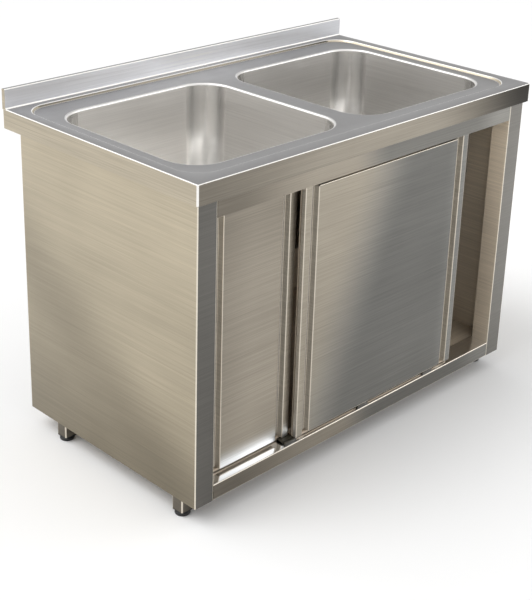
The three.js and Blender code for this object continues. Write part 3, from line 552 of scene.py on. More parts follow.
def brokenEdges(name, node, edge):
    s = bevelSettings
    bm = bmesh.new()
    bm.from_mesh(frame["nodes"][node].data)
    bmesh.ops.remove_doubles(bm, verts=bm.verts, dist=s.merge)
    bmesh.ops.dissolve_limit(bm, angle_limit=math.radians(s.flat), verts=bm.verts, edges=bm.edges)
    sharp = [e for e in bm.edges if len(e.link_faces) == 2 and e.calc_face_angle(0.0) > math.radians(s.sharp)]
    bmesh.ops.bevel(bm, geom=sharp, offset=edge / 1000, offset_type="OFFSET", segments=s.segments,
                    profile=0.5, affect="EDGES", clamp_overlap=True)
    mesh = meshFrom(bm, name, meshSettings.smooth)
    mesh.materials.append(looks[slotOf[node]])
    return placePiece(addObject(name, mesh), node)


# Node trees for what repeats. Each has named inputs and ends in plain geometry with its finish.

def newTree(name, **inputs):
    tree = bpy.data.node_groups.new(name, "GeometryNodeTree")
    for kind, labels in {**inputs, "Material": ["Finish"]}.items():
        for label in labels:
            tree.interface.new_socket(name=label, in_out="INPUT", socket_type="NodeSocket" + kind)
    tree.interface.new_socket(name="Geometry", in_out="OUTPUT", socket_type="NodeSocketGeometry")
    return tree, tree.nodes.new("NodeGroupInput").outputs


def endTree(tree, geometry, material):
    plain = grown(tree, "RealizeInstances", {"Geometry": geometry})
    finished = grown(tree, "SetMaterial", {"Geometry": plain, "Material": material})
    tree.links.new(finished, tree.nodes.new("NodeGroupOutput").inputs[0])
    return tree


def inMetres(value):
    return tuple(v / 1000 for v in value) if isinstance(value, tuple) else value / 1000


# Runs a tree with the given lengths, in millimetres, and other values, and keeps the result as a plain mesh.
def growPiece(name, tree, lengths, others, start=None, smooth=35.0):
    values = {**{label: inMetres(value) for label, value in lengths.items()}, **others}
    piece = addObject(name, start or bpy.data.meshes.new(name + "Start"))
    modifier = piece.modifiers.new("nodes", "NODES")
    modifier.node_group = tree
    for item in tree.interface.items_tree:
        if item.in_out == "INPUT" and item.name in values:
            modifier[item.identifier] = values[item.name]
    result = bpy.data.meshes.new_from_object(piece.evaluated_get(bpy.context.evaluated_depsgraph_get()))
    piece.modifiers.remove(modifier)
    bm = bmesh.new()
    bm.from_mesh(result)
    bmesh.ops.recalc_face_normals(bm, faces=bm.faces)
    bm.to_mesh(result)
    bm.free()
    result.name = name
    piece.data = result
    shade(result, smooth)
    return piece


# Parts of one sheet that meet or overlap become one closed shell.
def makeFuseTree():
    tree, given = newTree("fusedParts", Geometry=["Geometry"])
    whole = grown(tree, "MeshBoolean", {1: given["Geometry"], "Self Intersection": True},
                  operation="UNION", solver="EXACT")
    return endTree(tree, whole, given["Finish"])


def fusedParts(bm, finish):
    bmesh.ops.recalc_face_normals(bm, faces=bm.faces)
    piece = growPiece("parts", fuseTree, {}, {"Finish": finish}, meshFrom(bm, "parts"))
    fused = bmesh.new()
    fused.from_mesh(piece.data)
    bpy.data.objects.remove(piece)
    return fused


# Low round heads in rows: rivets, and the marks that spot welding leaves. Their undersides are flattened.
headUnderside = 0.2


def makeHeadsTree():
    tree, given = newTree("headRows", Int=["Rows", "Places"], Float=["Radius", "Height"],
                          Vector=["Start", "Row step", "Place step", "Turn"])
    rows = grown(tree, "MeshLine", {
        "Count": given["Rows"], "Start Location": given["Start"], "Offset": given["Row step"]}, mode="OFFSET")
    line = grown(tree, "MeshLine", {"Count": given["Places"], "Offset": given["Place step"]}, mode="OFFSET")
    places = grown(tree, "InstanceOnPoints", {"Points": rows, "Instance": line})
    places = grown(tree, "RealizeInstances", {"Geometry": places})
    ball = grown(tree, "MeshUVSphere", {"Segments": 16, "Rings": 8, "Radius": 1.0})
    at = split(tree, grown(tree, "InputPosition", {}))
    flat = combine(tree, at["Z"], multiplied(tree, at["Z"], headUnderside), "MAXIMUM")
    shape = joined(tree, "CombineXYZ", {
        "X": multiplied(tree, at["X"], given["Radius"]), "Y": multiplied(tree, at["Y"], given["Radius"]),
        "Z": multiplied(tree, flat, given["Height"])})
    head = grown(tree, "SetPosition", {"Geometry": ball, "Position": shape})
    heads = grown(tree, "InstanceOnPoints", {"Points": places, "Instance": head, "Rotation": given["Turn"]})
    return endTree(tree, heads, given["Finish"])


# Two upright rows of heads on a face that looks back
def addHeads(name, s, x0, x1, y, finish, body):
    lengths = {"Start": (x0, y, s.low), "Row step": (x1 - x0, 0.0, 0.0),
               "Place step": (0.0, 0.0, s.pitch), "Radius": s.radius, "Height": s.height}
    piece = growPiece(name, headsTree, lengths, {
        "Rows": 2, "Places": s.count, "Turn": (-math.pi / 2, 0.0, 0.0), "Finish": finish})
    placePiece(piece, None, body)


def makeThreadTree():
    tree, given = newTree("stemThread", Vector=["Start"], Float=["Radius", "Ridge", "Pitch", "Turns"])
    path = grown(tree, "CurveSpiral", {
        "Resolution": 20, "Rotations": given["Turns"], "Start Radius": given["Radius"],
        "End Radius": given["Radius"], "Height": multiplied(tree, given["Pitch"], given["Turns"])})
    ridge = grown(tree, "CurvePrimitiveCircle", {"Resolution": 6, "Radius": given["Ridge"]})
    wire = grown(tree, "CurveToMesh", {"Curve": path, "Profile Curve": ridge, "Fill Caps": True})
    wire = grown(tree, "Transform", {"Geometry": wire, "Translation": given["Start"]})
    return endTree(tree, wire, given["Finish"])


# Drills rings of holes through a cup's floor, and one ring through its wall.
def makeStrainerTree():
    tree, given = newTree(
        "strainerHoles", Geometry=["Cup"], Vector=["Middle"], Int=["Holes", "Outer holes"],
        Float=["Ring", "Hole", "Outer ring", "Small hole", "Wall ring", "Wall height"])

    def ring(count, radius, hole, **more):
        points = grown(tree, "MeshCircle", {"Vertices": given[count], "Radius": given[radius]})
        drill = grown(tree, "MeshCylinder", {"Vertices": 14, "Radius": given[hole], "Depth": 0.006})
        return grown(tree, "InstanceOnPoints", {"Points": points, "Instance": drill, **more})

    outward = joined(tree, "AlignRotationToVector", {"Vector": grown(tree, "InputPosition", {})},
                     "FunctionNode", axis="Z")
    inner = ring("Holes", "Ring", "Hole")
    outer = ring("Outer holes", "Outer ring", "Small hole")
    wall = grown(tree, "Transform", {
        "Geometry": ring("Outer holes", "Wall ring", "Small hole", Rotation=outward),
        "Translation": joined(tree, "CombineXYZ", {"Z": given["Wall height"]})})
    drills = tree.nodes.new("GeometryNodeJoinGeometry")
    for part in (inner, outer, wall):
        tree.links.new(part, drills.inputs[0])
    drills = grown(tree, "Transform", {"Geometry": drills.outputs[0], "Translation": given["Middle"]})
    drills = grown(tree, "RealizeInstances", {"Geometry": drills})
    cup = grown(tree, "MeshBoolean", {"Mesh 1": given["Cup"], "Mesh 2": drills}, operation="DIFFERENCE")
    return endTree(tree, cup, given["Finish"])


fuseTree, headsTree, threadTree, strainerTree = (
    makeFuseTree(), makeHeadsTree(), makeThreadTree(), makeStrainerTree())
print("node trees made")

# Unit: sizes that several pieces share
unit = Settings(
    halfLength=600.0, halfDepth=350.0, top=850.0, deckTop=844.0, deckSheet=1.5,
    apronBottom=800.0, overhang=10.0, seam=0.3, sheet=1.2,
    cabinetSide=590.0, cabinetFront=-340.0, cabinetBack=295.0, cabinetBottom=50.0,
    openingSide=533.0, openingTop=757.0, trayTop=91.0, trayBack=-281.0, shellTop=842.2,
    bowlX=282.0, bowlY=-10.0, bowlHalf=250.0, bowlLip=6.0, bowlCorner=84.0,
    legSide=35.0, legX=567.5, legFront=-272.5, legBack=174.5,
)
bowlPlaces = (("left", -unit.bowlX), ("right", unit.bowlX))

# Worktop: apron, rolled edge, rim, pressed deck with two bowl holes, and the upstand
worktopSettings = Settings(
    edgeRadius=2.0, corner=4.0, rimSide=28.0, rimFront=38.0, rimBack=19.0, slope=7.0,
    pressCorner=70.0, upstandTop=900.0, upstandDeep=12.0, rootRadius=3.0, cornerSteps=20,
    edgeSteps=6, pressSteps=10, pressBottom=844.3, pressTop=848.7,
)


def makeWorktop(s, u):
    steps, bends, top, sheet, deck = s.cornerSteps, s.edgeSteps, u.top, u.deckSheet, u.deckTop
    hx, hy, low, under = u.halfLength, u.halfDepth, u.apronBottom, deck - sheet
    r, root, tip, upstandFront = s.edgeRadius, s.rootRadius, s.upstandTop, hy - s.upstandDeep
    px, py0, py1 = hx - s.rimSide, -hy + s.rimFront, upstandFront - s.rimBack
    fold, cy, half = u.overhang - u.seam, u.bowlY, u.bowlHalf + u.bowlLip
    holeCorner = u.bowlCorner + u.bowlLip

    def outline(inset, z):
        radius = max(s.corner - inset, sheet)
        return roundedRing(-hx + inset, hx - inset, -hy + inset, hy - inset, radius, z, steps)

    def pressed(inset, z):
        radius = s.pressCorner - inset
        return roundedRing(-px + inset, px - inset, py0 + inset, py1 - inset, radius, z, steps)

    bm = bmesh.new()
    edge = [(fold, low + sheet), (fold, low)]  # the apron's lower bend and the rolled edge, as (inset, z)
    edge += arc(sheet, low + sheet, sheet, -1, -2, bends) + arc(r, top - r, r, 2, 1, bends)
    press = [k / s.pressSteps for k in range(s.pressSteps + 1)]
    upper = skinRings(bm, [outline(*p) for p in edge]
                      + [pressed(s.slope * t, top - (top - deck) * eased(t)) for t in press])
    lower = skinRings(bm, [
        outline(fold, low + sheet), outline(sheet, low + sheet), outline(sheet, top - sheet),
        pressed(-sheet / 2, top - sheet), pressed(s.slope - sheet / 2, under), pressed(s.slope, under)])
    holes = {}
    for z in (deck, under):
        for side, cx in bowlPlaces:
            ring = roundedRing(cx - half, cx + half, cy - half, cy + half, holeCorner, z, steps)
            holes[side, z] = [bm.verts.new(p) for p in ring]
    for z, outer in ((deck, upper[-1]), (under, lower[-1])):
        edges = [e for row in (outer, holes["left", z], holes["right", z]) for e in loopEdges(bm, row)]
        bmesh.ops.triangle_fill(bm, use_beauty=True, edges=edges)
    for side, cx in bowlPlaces:
        bridge(bm, holes[side, deck], holes[side, under])
    section = [(hy, top - sheet), (hy, tip - r)] + arc(hy - r, tip - r, r, 0, 1, bends)
    section += arc(upstandFront + r, tip - r, r, 1, 2, bends)
    section += arc(upstandFront - root, top + root, root, 0, -1, bends) + [(upstandFront - root, top - sheet)]
    for row in skinRings(bm, [[(x, *p) for p in section] for x in (-hx, hx)]):
        bm.faces.new(row)

    # back faces take the back finish, the upstand's front its painted light
    def finishOf(now, normal, middle):
        if now == 0 and normal.y > halfOn:
            return 3
        if now == 0 and normal.y < -halfOn and middle.z > top + root:
            return 2
        # the apron's foot and the press slope get no painted highlight
        slope = s.pressBottom < middle.z < s.pressTop and abs(middle.x) < px
        return 0 if slope or middle.z < low + 2 * sheet else now

    paintFaces(finishPiece("pressedWorktop", bm, "worktop", smooth=30.0), (upstandLook, backLook), finishOf)


makeWorktop(worktopSettings, unit)
print("worktop made")

# Bowls: rolled lip, drafted walls, rounded floor falling to the waste's seat
bowlSettings = Settings(
    depth=300.0, floorRadius=35.0, draft=3.0, fall=5.0, sheet=1.5, seatRadius=48.0,
    seatDepth=4.0, holeRadius=30.0, cornerSteps=24, lipSteps=8, floorSteps=14, fallSteps=8,
    seatSteps=4, burnished=(0.4, 0.8), cornerTurn=0.12, downward=-0.3, upright=0.6,
)


def bowlRings(s, u, cx, skin):
    cy, lip, half, steps = u.bowlY, u.bowlLip, u.bowlHalf, s.cornerSteps
    floor = u.top - s.depth
    seat = floor - s.fall - skin

    def ring(inset, z):
        reach = half - inset
        return roundedRing(cx - reach, cx + reach, cy - reach, cy + reach, u.bowlCorner - inset, z, steps)

    wall = arc(-lip, u.deckTop - lip, lip - skin, 1, 0, s.lipSteps)
    wall += arc(s.draft + s.floorRadius, floor + s.floorRadius, s.floorRadius + skin, 2, 3, s.floorSteps)
    rings = [ring(inset, z) for inset, z in wall]
    outer, inner = rings[-1], circleRing(cx, cy, s.seatRadius + skin, seat, steps)
    for k in range(1, s.fallSteps + 1):
        t = k / s.fallSteps
        rings.append([tuple(a + (b - a) * t for a, b in zip(p, q)) for p, q in zip(outer, inner)])
    for k in range(1, s.seatSteps + 1):
        t = k / s.seatSteps
        radius = s.seatRadius + skin - s.sheet * t
        rings.append(circleRing(cx, cy, radius, seat - s.seatDepth * eased(t), steps))
    return rings + [circleRing(cx, cy, s.holeRadius, seat - s.seatDepth, steps)]


def makeBowl(s, u, side, cx):
    rings = bowlRings(s, u, cx, 0.0) + bowlRings(s, u, cx, s.sheet)[::-1]
    centre, lipLow = Vector((cx, u.bowlY)), u.deckTop - u.bowlLip

    def finishOf(now, normal, middle):
        outward = normal.to_2d().dot(centre - middle.to_2d()) < 0
        if normal.z < s.downward or abs(normal.z) < s.upright and outward:
            return 3
        if middle.z > lipLow:  # only the middle of the lip gets the painted highlight
            return int(s.burnished[0] < normal.z < s.burnished[1])
        # corner faces take the painted corner highlight
        turning = min(abs(normal.x), abs(normal.y)) > s.cornerTurn
        return 2 if turning and abs(normal.z) < halfOn else 0

    piece = ringPiece(f"drawnBowl_{side}", f"bowl_{side}", rings, smooth=40.0)
    paintFaces(piece, (cornerHighlightLook, backLook), finishOf)


for side, cx in bowlPlaces:
    makeBowl(bowlSettings, unit, side, cx)
print("bowls made")

# Cabinet sheets
panelSettings = Settings(backFlange=30.0, stileReturn=52.0, bottomFlange=24.0)


def makeSidePanel(s, u, side, sign):
    bm = bmesh.new()
    outside, inside = sign * u.cabinetSide, sign * u.openingSide
    front, back, low = u.cabinetFront, u.cabinetBack, u.cabinetBottom
    returned = front + s.stileReturn
    section = foldedSheet([(outside - sign * s.backFlange, back), (outside, back), (outside, front),
                           (inside, front), (inside, returned)], u.sheet, -sign)
    pushSection(bm, section, "z", low, u.shellTop)
    # the bottom flange stops at the legs, where only a narrow ledge goes on
    reach = u.legSide / 2 + u.seam
    flange, ledge = outside - sign * s.bottomFlange, sign * (u.legX + reach)
    legs = [(y - reach, y + reach) for y in (u.legFront, u.legBack)]
    stops = [returned, *legs[0], *legs[1], back - s.backFlange]
    strips = [(*ends, flange) for ends in zip(stops[::2], stops[1::2])] + [(*ends, ledge) for ends in legs]
    for y0, y1, inner in strips:
        x0, x1 = sorted((outside - sign * u.sheet / 2, inner))
        addBox(bm, (x0, y0, low), (x1, y1, low + u.sheet))

    def finishOf(now, normal, middle):  # inner faces take the matt inner finish: painted light and shade
        return 2 if normal.x * sign < -squareOn else 3 if normal.y > squareOn else now

    piece = finishPiece(f"sidePanel_{side}", bm, f"side_panel_{side}", fused=True)
    paintFaces(piece, (looks["inner_steel"], backLook), finishOf)


railSettings = Settings(
    end=532.7, shelfSide=588.5, topFlange=16.0, bottomReturn=25.0, trayLip=15.0,
    backReturn=18.0, shelfTop=88.0, shelfFront=-280.7, shelfBack=292.0,
)
stiffenerSettings = Settings(width=60.0, foot=18.0, height=22.0)


def makeRails(s, u):
    front, top, sheet, low, tray = u.cabinetFront, u.shellTop, u.sheet, u.cabinetBottom, u.trayTop
    corners = [(front, u.openingTop), (front, top), (front + s.topFlange, top)]
    sheetAlongX("topRail", "top_rail", corners, sheet, -1, -s.end, s.end)
    corners = [(front + s.bottomReturn, low), (front, low), (front, tray), (u.trayBack, tray),
               (u.trayBack, tray - s.trayLip)]
    piece = sheetAlongX("bottomRail", "bottom_rail", corners, sheet, -1, -s.end, s.end)
    paintFaces(piece, [trayLook], lambda now, normal, middle:
               2 if normal.z > squareOn and middle.z > tray - sheet / 2 else now)


def makeBack(s, u):
    y, low, top = u.cabinetBack - u.sheet - u.seam, u.cabinetBottom + u.sheet, u.shellTop
    inner = y - s.backReturn
    piece = sheetAlongX("backPanel", "back_panel", [(inner, low), (y, low), (y, top), (inner, top)],
                        u.sheet, 1, -s.shelfSide, s.shelfSide)
    paintFaces(piece, [backLook], lambda now, normal, middle: 1 if normal.y > halfOn else now)


# A hat section under the shelf, from leg to leg
def makeStiffener(s, rails, u):
    middle = (rails.shelfFront + rails.shelfBack) / 2
    top = rails.shelfTop - u.sheet - u.seam
    half, low, foot = s.width / 2, top - s.height, s.width / 2 + s.foot
    corners = [(-foot, top), (-half, top), (-half, low), (half, low), (half, top), (foot, top)]
    end = u.legX - u.legSide / 2 - u.seam
    sheetAlongX("shelfStiffener", "shelf_stiffener", [(middle + y, z) for y, z in corners], u.sheet, -1,
                -end, end)


for side, sign in (("left", -1), ("right", 1)):
    makeSidePanel(panelSettings, unit, side, sign)
makeRails(railSettings, unit)
makeBack(railSettings, unit)
makeStiffener(stiffenerSettings, railSettings, unit)

# Marks of the spot welds that hold the back's flange
weldSettings = Settings(x=574.0, low=82.0, pitch=60.0, count=13, radius=3.2, height=0.25)
addHeads("weldMarks", weldSettings, -weldSettings.x, weldSettings.x, unit.cabinetBack, backLook,
         bodyOf["side_panel_left"])

brokenEdges("bottomShelf", "bottom_shelf", edge=0.4)
brokenEdges("topTrack", "top_track", edge=0.3)
brokenEdges("deckBraceMiddle", "deck_brace_middle", edge=0.3)
brokenEdges("deckBraceRear", "deck_brace_rear", edge=0.3)
for place in ("left", "middle", "right"):
    brokenEdges(f"guideBlock_{place}", f"guide_block_{place}", edge=0.5).data.materials[0] = guideLook
print("cabinet made")

# Legs: a square tube, a plug in its lower end, and a levelling foot on a threaded stem
legSettings = Settings(
    wall=1.5, corner=3.0, bottom=12.3, top=86.5, capBottom=9.0, capTop=12.0, capEdge=0.8,
    insertTop=32.3, bore=5.4, steps=10,
)
footSettings = Settings(
    radius=19.0, height=8.7, domeWide=0.28, domeTall=0.55, domeSteps=8, stemRadius=5.0,
    stemTop=48.7, stemChamfer=1.0, pitch=1.5, ridge=0.3, threadGap=0.6, threadLess=3.0,
    padEdge=((1.2, 0.0), (0.4, 0.3), (0.0, 1.1)),  # rounded lower edge, as (inset, height)
    stemClear=0.1, around=48,
)


def makeLeg(s, u, place, x, y):
    half, steps, corner, edge, wall = u.legSide / 2, s.steps, s.corner, s.capEdge, s.wall
    inner, fitted = half - wall, half - wall - u.seam

    def square(h, r, z):
        return roundedRing(x - h, x + h, y - h, y + h, r, z, steps)

    ringPiece(f"leg_{place}", f"leg_{place}", [
        square(half, corner, s.bottom), square(half, corner, s.top), square(inner, wall, s.top),
        square(inner, wall, s.bottom)])
    low, high, top = s.capBottom, s.capTop, s.insertTop
    ringPiece(f"legPlug_{place}", f"leg_insert_{place}", [
        circleRing(x, y, s.bore, low, steps), square(half - edge, corner - edge, low),
        square(half, corner, low + edge), square(half, corner, high), square(fitted, wall / 2, high),
        square(fitted, wall / 2, top), circleRing(x, y, s.bore, top, steps)])


def makeFoot(s, place, x, y):
    radius, tall, stem, tip, chamfer = s.radius, s.height, s.stemRadius, s.stemTop, s.stemChamfer
    profile = [(0.0, 0.0)] + [(radius - inset, up) for inset, up in s.padEdge]
    profile += [(radius * (1 - s.domeWide * (1 - a)), tall * (1 - s.domeTall * (1 - b)))
                for a, b in arc(0.0, 0.0, 1.0, 0, 1, s.domeSteps)]
    profile += [(stem, tall), (stem, tip - chamfer), (stem - chamfer, tip), (0.0, tip)]
    piece = ringPiece(f"foot_{place}", f"foot_{place}", spun(profile, x, y, s.around), False, merged=True)
    paintFaces(piece, [looks["polished_steel"]],
               lambda now, normal, middle: int(middle.z > tall + s.stemClear))
    turns = int((tip - tall - s.threadLess) / s.pitch)
    lengths = {"Start": (x, y, tall + s.threadGap), "Radius": stem, "Ridge": s.ridge, "Pitch": s.pitch}
    thread = growPiece(f"footThread_{place}", threadTree, lengths, {
        "Turns": float(turns), "Finish": looks["polished_steel"]}, smooth=70.0)
    placePiece(thread, None, bodyOf[f"foot_{place}"])


for row, y in (("front", unit.legFront), ("back", unit.legBack)):
    for side, x in (("left", -unit.legX), ("right", unit.legX)):
        makeLeg(legSettings, unit, f"{row}_{side}", x, y)
        makeFoot(footSettings, f"{row}_{side}", x, y)
print("legs made")

# Doors, drawn from the left edge and the face
doorSettings = Settings(
    sheet=1.0, thickness=18.3, bottom=100.0, top=751.0, tailTop=775.0, flange=22.0,
    pull=22.0, pullDepth=16.0, endFold=11.0, foldDepth=12.0, run=3.0, lipSetback=10.5,
    lipToe=93.0,
)
doors = {
    "left": {"x": -532.0, "y": -312.0, "width": 275.0},
    "middle": {"x": -254.0, "y": -336.5, "width": 613.0},
    "right": {"x": 70.0, "y": -312.0, "width": 275.0},
}


def makeDoorSkin(s, name, x, y, width):
    groove, t, run, low, high = s.flange + s.pull, s.sheet, s.run, s.bottom, s.top
    deep, radius = s.pullDepth, bendSettings.radius + s.sheet
    left = [(0, s.endFold), (0, 0), (s.flange, 0), (s.flange, deep), (groove, deep)]
    right = [(width - a, b) for a, b in left[::-1]]
    faceStart, faceEnd = groove + run, width - groove - run
    strips = (left + [(groove, 0), (faceStart, 0)], [(faceEnd, 0), (width - groove, 0)] + right)
    tails = (left + [(groove + t, deep)], [(width - groove - t, deep)] + right)
    bm = bmesh.new()
    for lines in zip(strips, tails):  # flange and groove, running on behind the top rail
        strip, tail = (foldedSheet([(x + a, y + b) for a, b in line], t) for line in lines)
        pushSection(bm, strip, "z", low + radius, high - radius)
        pushSection(bm, tail, "z", high - radius, s.tailTop)
        pushSection(bm, tail, "z", low, low + radius)
    # between the grooves the face turns in at top and bottom
    inner = y + s.foldDepth
    turned = foldedSheet([(inner, low), (y, low), (y, high), (inner, high)], t, -1)
    pushSection(bm, turned, "x", x + faceStart, x + faceEnd)
    skin = finishPiece(f"doorSkin_{name}", bm, f"door_{name}_skin", fused=True)
    # the middle door takes its painted reflection, the grooves their painted light
    if name == "middle":
        skin.data.materials[0] = frontDoorLook
    inGroove = (y + 1.5 * t, y + deep + t / 2)
    paintFaces(skin, [litGrooveLook], lambda now, normal, middle:
               2 if now == 0 and inGroove[0] < middle.y < inGroove[1] else now)


# Inner skin, folded forward under the door and down into the guides
def makeDoorBack(s, name, x, y, width):
    t, back, lip = s.sheet, y + s.thickness, y + s.lipSetback
    under = s.bottom - unit.seam - t
    corners = [(back, s.tailTop), (back, under), (lip, under), (lip, s.lipToe)]
    sheetAlongX(f"doorBack_{name}", f"door_{name}_back", corners, t, -1, x + 2 * t, x + width - 2 * t)


# Two rivets hold each hanger to the inner skin; their heads show on the door's back.
rivetSettings = Settings(low=704.0, pitch=26.0, count=2, radius=3.4, height=1.3)
rollerSettings = Settings(
    line=9.0, z=805.3, inset=76.0, tread=10.0, radius=13.0, width=8.0, groove=3.0,
    bore=2.8, edge=0.6, rim=2.4, dish=0.8, dishStep=0.6, around=56,
    shoulder=((1.0, 0.0), (0.3, 0.3), (0.0, 1.0)),  # rounded outer edge, as (inset, in from the face)
)


def makeRoller(s, name, end, x, y):
    face, groove, r, e = -s.width / 2, -s.groove / 2, s.radius, s.edge
    hub, rim, dish, step = s.bore + s.rim, r - s.rim, face + s.dish, s.dishStep
    profile = [(s.bore, face), (hub, face), (hub + step, dish), (rim - step, dish), (rim, face)]
    profile += [(r - inset, face + along) for inset, along in s.shoulder]
    profile += [(r, groove - e), (r - e, groove), (s.tread, groove)]
    profile += [(radius, -along) for radius, along in profile[::-1]]
    rings = spun(profile, 0.0, 0.0, s.around)
    ringPiece(f"roller_{name}_{end}", f"door_{name}_roller_{end}", [
        [(x + a, y + s.line + c, s.z + b) for a, b, c in ring] for ring in rings])


for name, door in doors.items():
    left, right = door["x"], door["x"] + door["width"]
    makeDoorSkin(doorSettings, name, **door)
    makeDoorBack(doorSettings, name, **door)
    inset, back = rollerSettings.inset, door["y"] + doorSettings.thickness
    addHeads(f"hangerRivets_{name}", rivetSettings, left + inset, right - inset, back,
             looks["polished_steel"], bodyOf[f"door_{name}_back"])
    for end, x in (("a", left + inset), ("b", right - inset)):
        makeRoller(rollerSettings, name, end, x, door["y"])
        brokenEdges(f"hanger_{name}_{end}", f"door_{name}_hanger_{end}", edge=0.3)
print("doors made")

# Wastes: flanged body, tail, gasket, lock nut
wasteSettings = Settings(
    seatTop=541.0, flangeTop=543.3, ledge=540.3, flangeRadius=45.0, neck=29.4, bore=26.4,
    neckBottom=499.0, tailTop=498.7, tailRim=3.0, outletTop=483.0, outletEnd=455.0,
    outlet=20.0, outletBore=17.0, threadPitch=3.0, threadDepth=0.9, threadStart=525.5,
    seatUnder=539.5, nutBore=30.0, gasket=3.0, gasketRadius=42.0, edge=0.6, tailSteps=8,
    mouth=((1.4, 0.3), (2.0, 0.0)),  # rounded inner edge, as (out from the neck, below the top)
    flangeEdge=((3.0, 0.0), (1.0, 0.7)),  # rounded outer edge, as (inset, below the top)
    ledgeIn=0.3, flangeFoot=0.2, tailEdge=0.5, gasketEdge=(0.4, 0.5), around=72, smooth=50.0,
)


def bodyProfile(s):
    neck, bore, flange, top, ledge = s.neck, s.bore, s.flangeRadius, s.flangeTop, s.ledge
    under, pitch, z = s.seatTop + unit.seam, s.threadPitch, s.threadStart
    profile = [(bore, ledge), (neck - s.ledgeIn, ledge)] + [(neck + a, top - b) for a, b in s.mouth]
    profile += [(flange - a, top - b) for a, b in s.flangeEdge]
    profile += [(flange, under + s.flangeFoot), (flange, under), (neck, under), (neck, z)]
    while z > s.neckBottom + pitch:  # thread below the nut
        profile += [(neck - s.threadDepth, z - pitch / 2), (neck, z - pitch)]
        z -= pitch
    return profile + [(neck - s.edge, s.neckBottom), (bore, s.neckBottom)]


def tailProfile(s):
    neck, top, edge, end, outlet, bore = s.neck, s.tailTop, s.edge, s.outletEnd, s.outlet, s.outletBore
    rim = top - s.tailRim
    profile = [(s.bore, top), (neck - s.tailEdge, top), (neck, top - s.tailEdge), (neck, rim)]
    for k in range(1, s.tailSteps + 1):
        t = k / s.tailSteps
        profile.append((neck + (outlet - neck) * eased(t), rim + (s.outletTop - rim) * t))
    return profile + [(outlet, end + edge), (outlet - edge, end), (bore, end), (bore, s.outletTop)]


def gasketProfile(s):
    bore, r, top = s.nutBore, s.gasketRadius, s.seatUnder - unit.seam
    low = top - s.gasket
    a, b = s.gasketEdge
    return [(bore, top), (r - a, top), (r, top - b), (r, low + b), (r - a, low), (bore, low)]


def makeWaste(s, side, cx):
    for name, node, profile in (("wasteBody", "waste_body", bodyProfile(s)),
                                ("wasteTail", "waste_tail", tailProfile(s)),
                                ("wasteGasket", "waste_gasket", gasketProfile(s))):
        smooth = meshSettings.smooth if name == "wasteGasket" else s.smooth
        rings = spun(profile, cx, unit.bowlY, s.around)
        ringPiece(f"{name}_{side}", f"{node}_{side}", rings, smooth=smooth)
    brokenEdges(f"wasteNut_{side}", f"waste_locknut_{side}", edge=0.5)


# Strainer basket: a pressed cup with a knob to lift it by
basketSettings = Settings(
    bottom=522.6, wall=1.2, cup=25.8, rimUnder=540.6, rimTop=542.1, rim=28.2, knob=6.0,
    knobTop=539.8, knobDome=2.0, round=2.4, fillet=1.0, arcSteps=5, around=64,
    rimFoot=0.3, rimEdge=0.5, neckTop=4.4, flare=(0.8, 2.8),
)
strainerSettings = Settings(
    holes=8, ring=14.4, hole=2.6, outerHoles=16, outerRing=20.6, smallHole=1.5,
    wallHeight=533.0,
)


def makeBasket(s, holes, side, cx):
    cy, wall, r, cup, bottom, floor = unit.bowlY, s.wall, s.round, s.cup, s.bottom, s.bottom + s.wall
    rim, under, rimTop, knob, dome, top = s.rim, s.rimUnder, s.rimTop, s.knob, s.knobDome, s.knobTop
    inner, stem, fillet, steps = r - wall, knob / 2, s.fillet, s.arcSteps
    profile = [(0.0, bottom)] + arc(cup - r, bottom + r, r, -1, 0, steps)
    profile += [(cup, under), (rim - s.rimFoot, under), (rim, under + s.rimFoot),
                (rim, rimTop - s.rimEdge), (rim - s.rimEdge, rimTop)]
    profile += arc(cup - wall + fillet, rimTop - fillet, fillet, 1, 2, steps)
    profile += arc(cup - wall - inner, floor + inner, inner, 0, -1, steps)
    profile += arc(stem + fillet, floor + fillet, fillet, -1, -2, steps)
    profile += [(stem, top - s.neckTop), (knob - s.flare[0], top - s.flare[1]), (knob, top - dome)]
    profile += [(knob * a, top - dome + dome * b) for a, b in arc(0.0, 0.0, 1.0, 0, 1, steps)[1:]]
    bm = bmesh.new()
    skinRings(bm, spun(profile, cx, cy, s.around))
    toMetres(bm, True)
    lengths = {"Middle": (cx, cy, bottom), "Ring": holes.ring, "Hole": holes.hole, "Wall ring": cup,
               "Outer ring": holes.outerRing, "Small hole": holes.smallHole,
               "Wall height": holes.wallHeight - bottom}
    piece = growPiece(f"strainerBasket_{side}", strainerTree, lengths, {
        "Holes": holes.holes, "Outer holes": holes.outerHoles, "Finish": looks["polished_steel"]},
        meshFrom(bm, "cup"))
    placePiece(piece, f"strainer_basket_{side}")


for side, cx in bowlPlaces:
    makeWaste(wasteSettings, side, cx)
    makeBasket(basketSettings, strainerSettings, side, cx)
print("wastes made")

# Floor, soft studio light and lamps
stageSettings = Settings(
    floor=(0.95, 0.95, 0.95),
    floorSize=25.0,
    floorZ=-0.0005,  # just clear of the feet
    floorRoughness=0.9,
    floorShine=0.1,
    strength=0.84,  # of the light that falls on matt faces
    seenStrength=1.0,  # of the backdrop that the camera and the metal see
    cardTone=0.75,  # grey card behind the unit, high enough to stay out of the picture
    cardFoot=(0.16, 0.34),  # the card's edges fade over these parts of the sky's height
    cardHead=(0.7, 0.9),
    cardSide=(0.1, 0.9),
    ceiling=0.8,
    ceilingFrom=(0.4, 0.95),
    patch=0.12,  # the most that a soft patch adds or takes away
    patchNoise=(0.35, 0.65),
    patchFrom=(0.2, 0.4),
    patchPlace=(0.35, 0.2, 0.0),
)


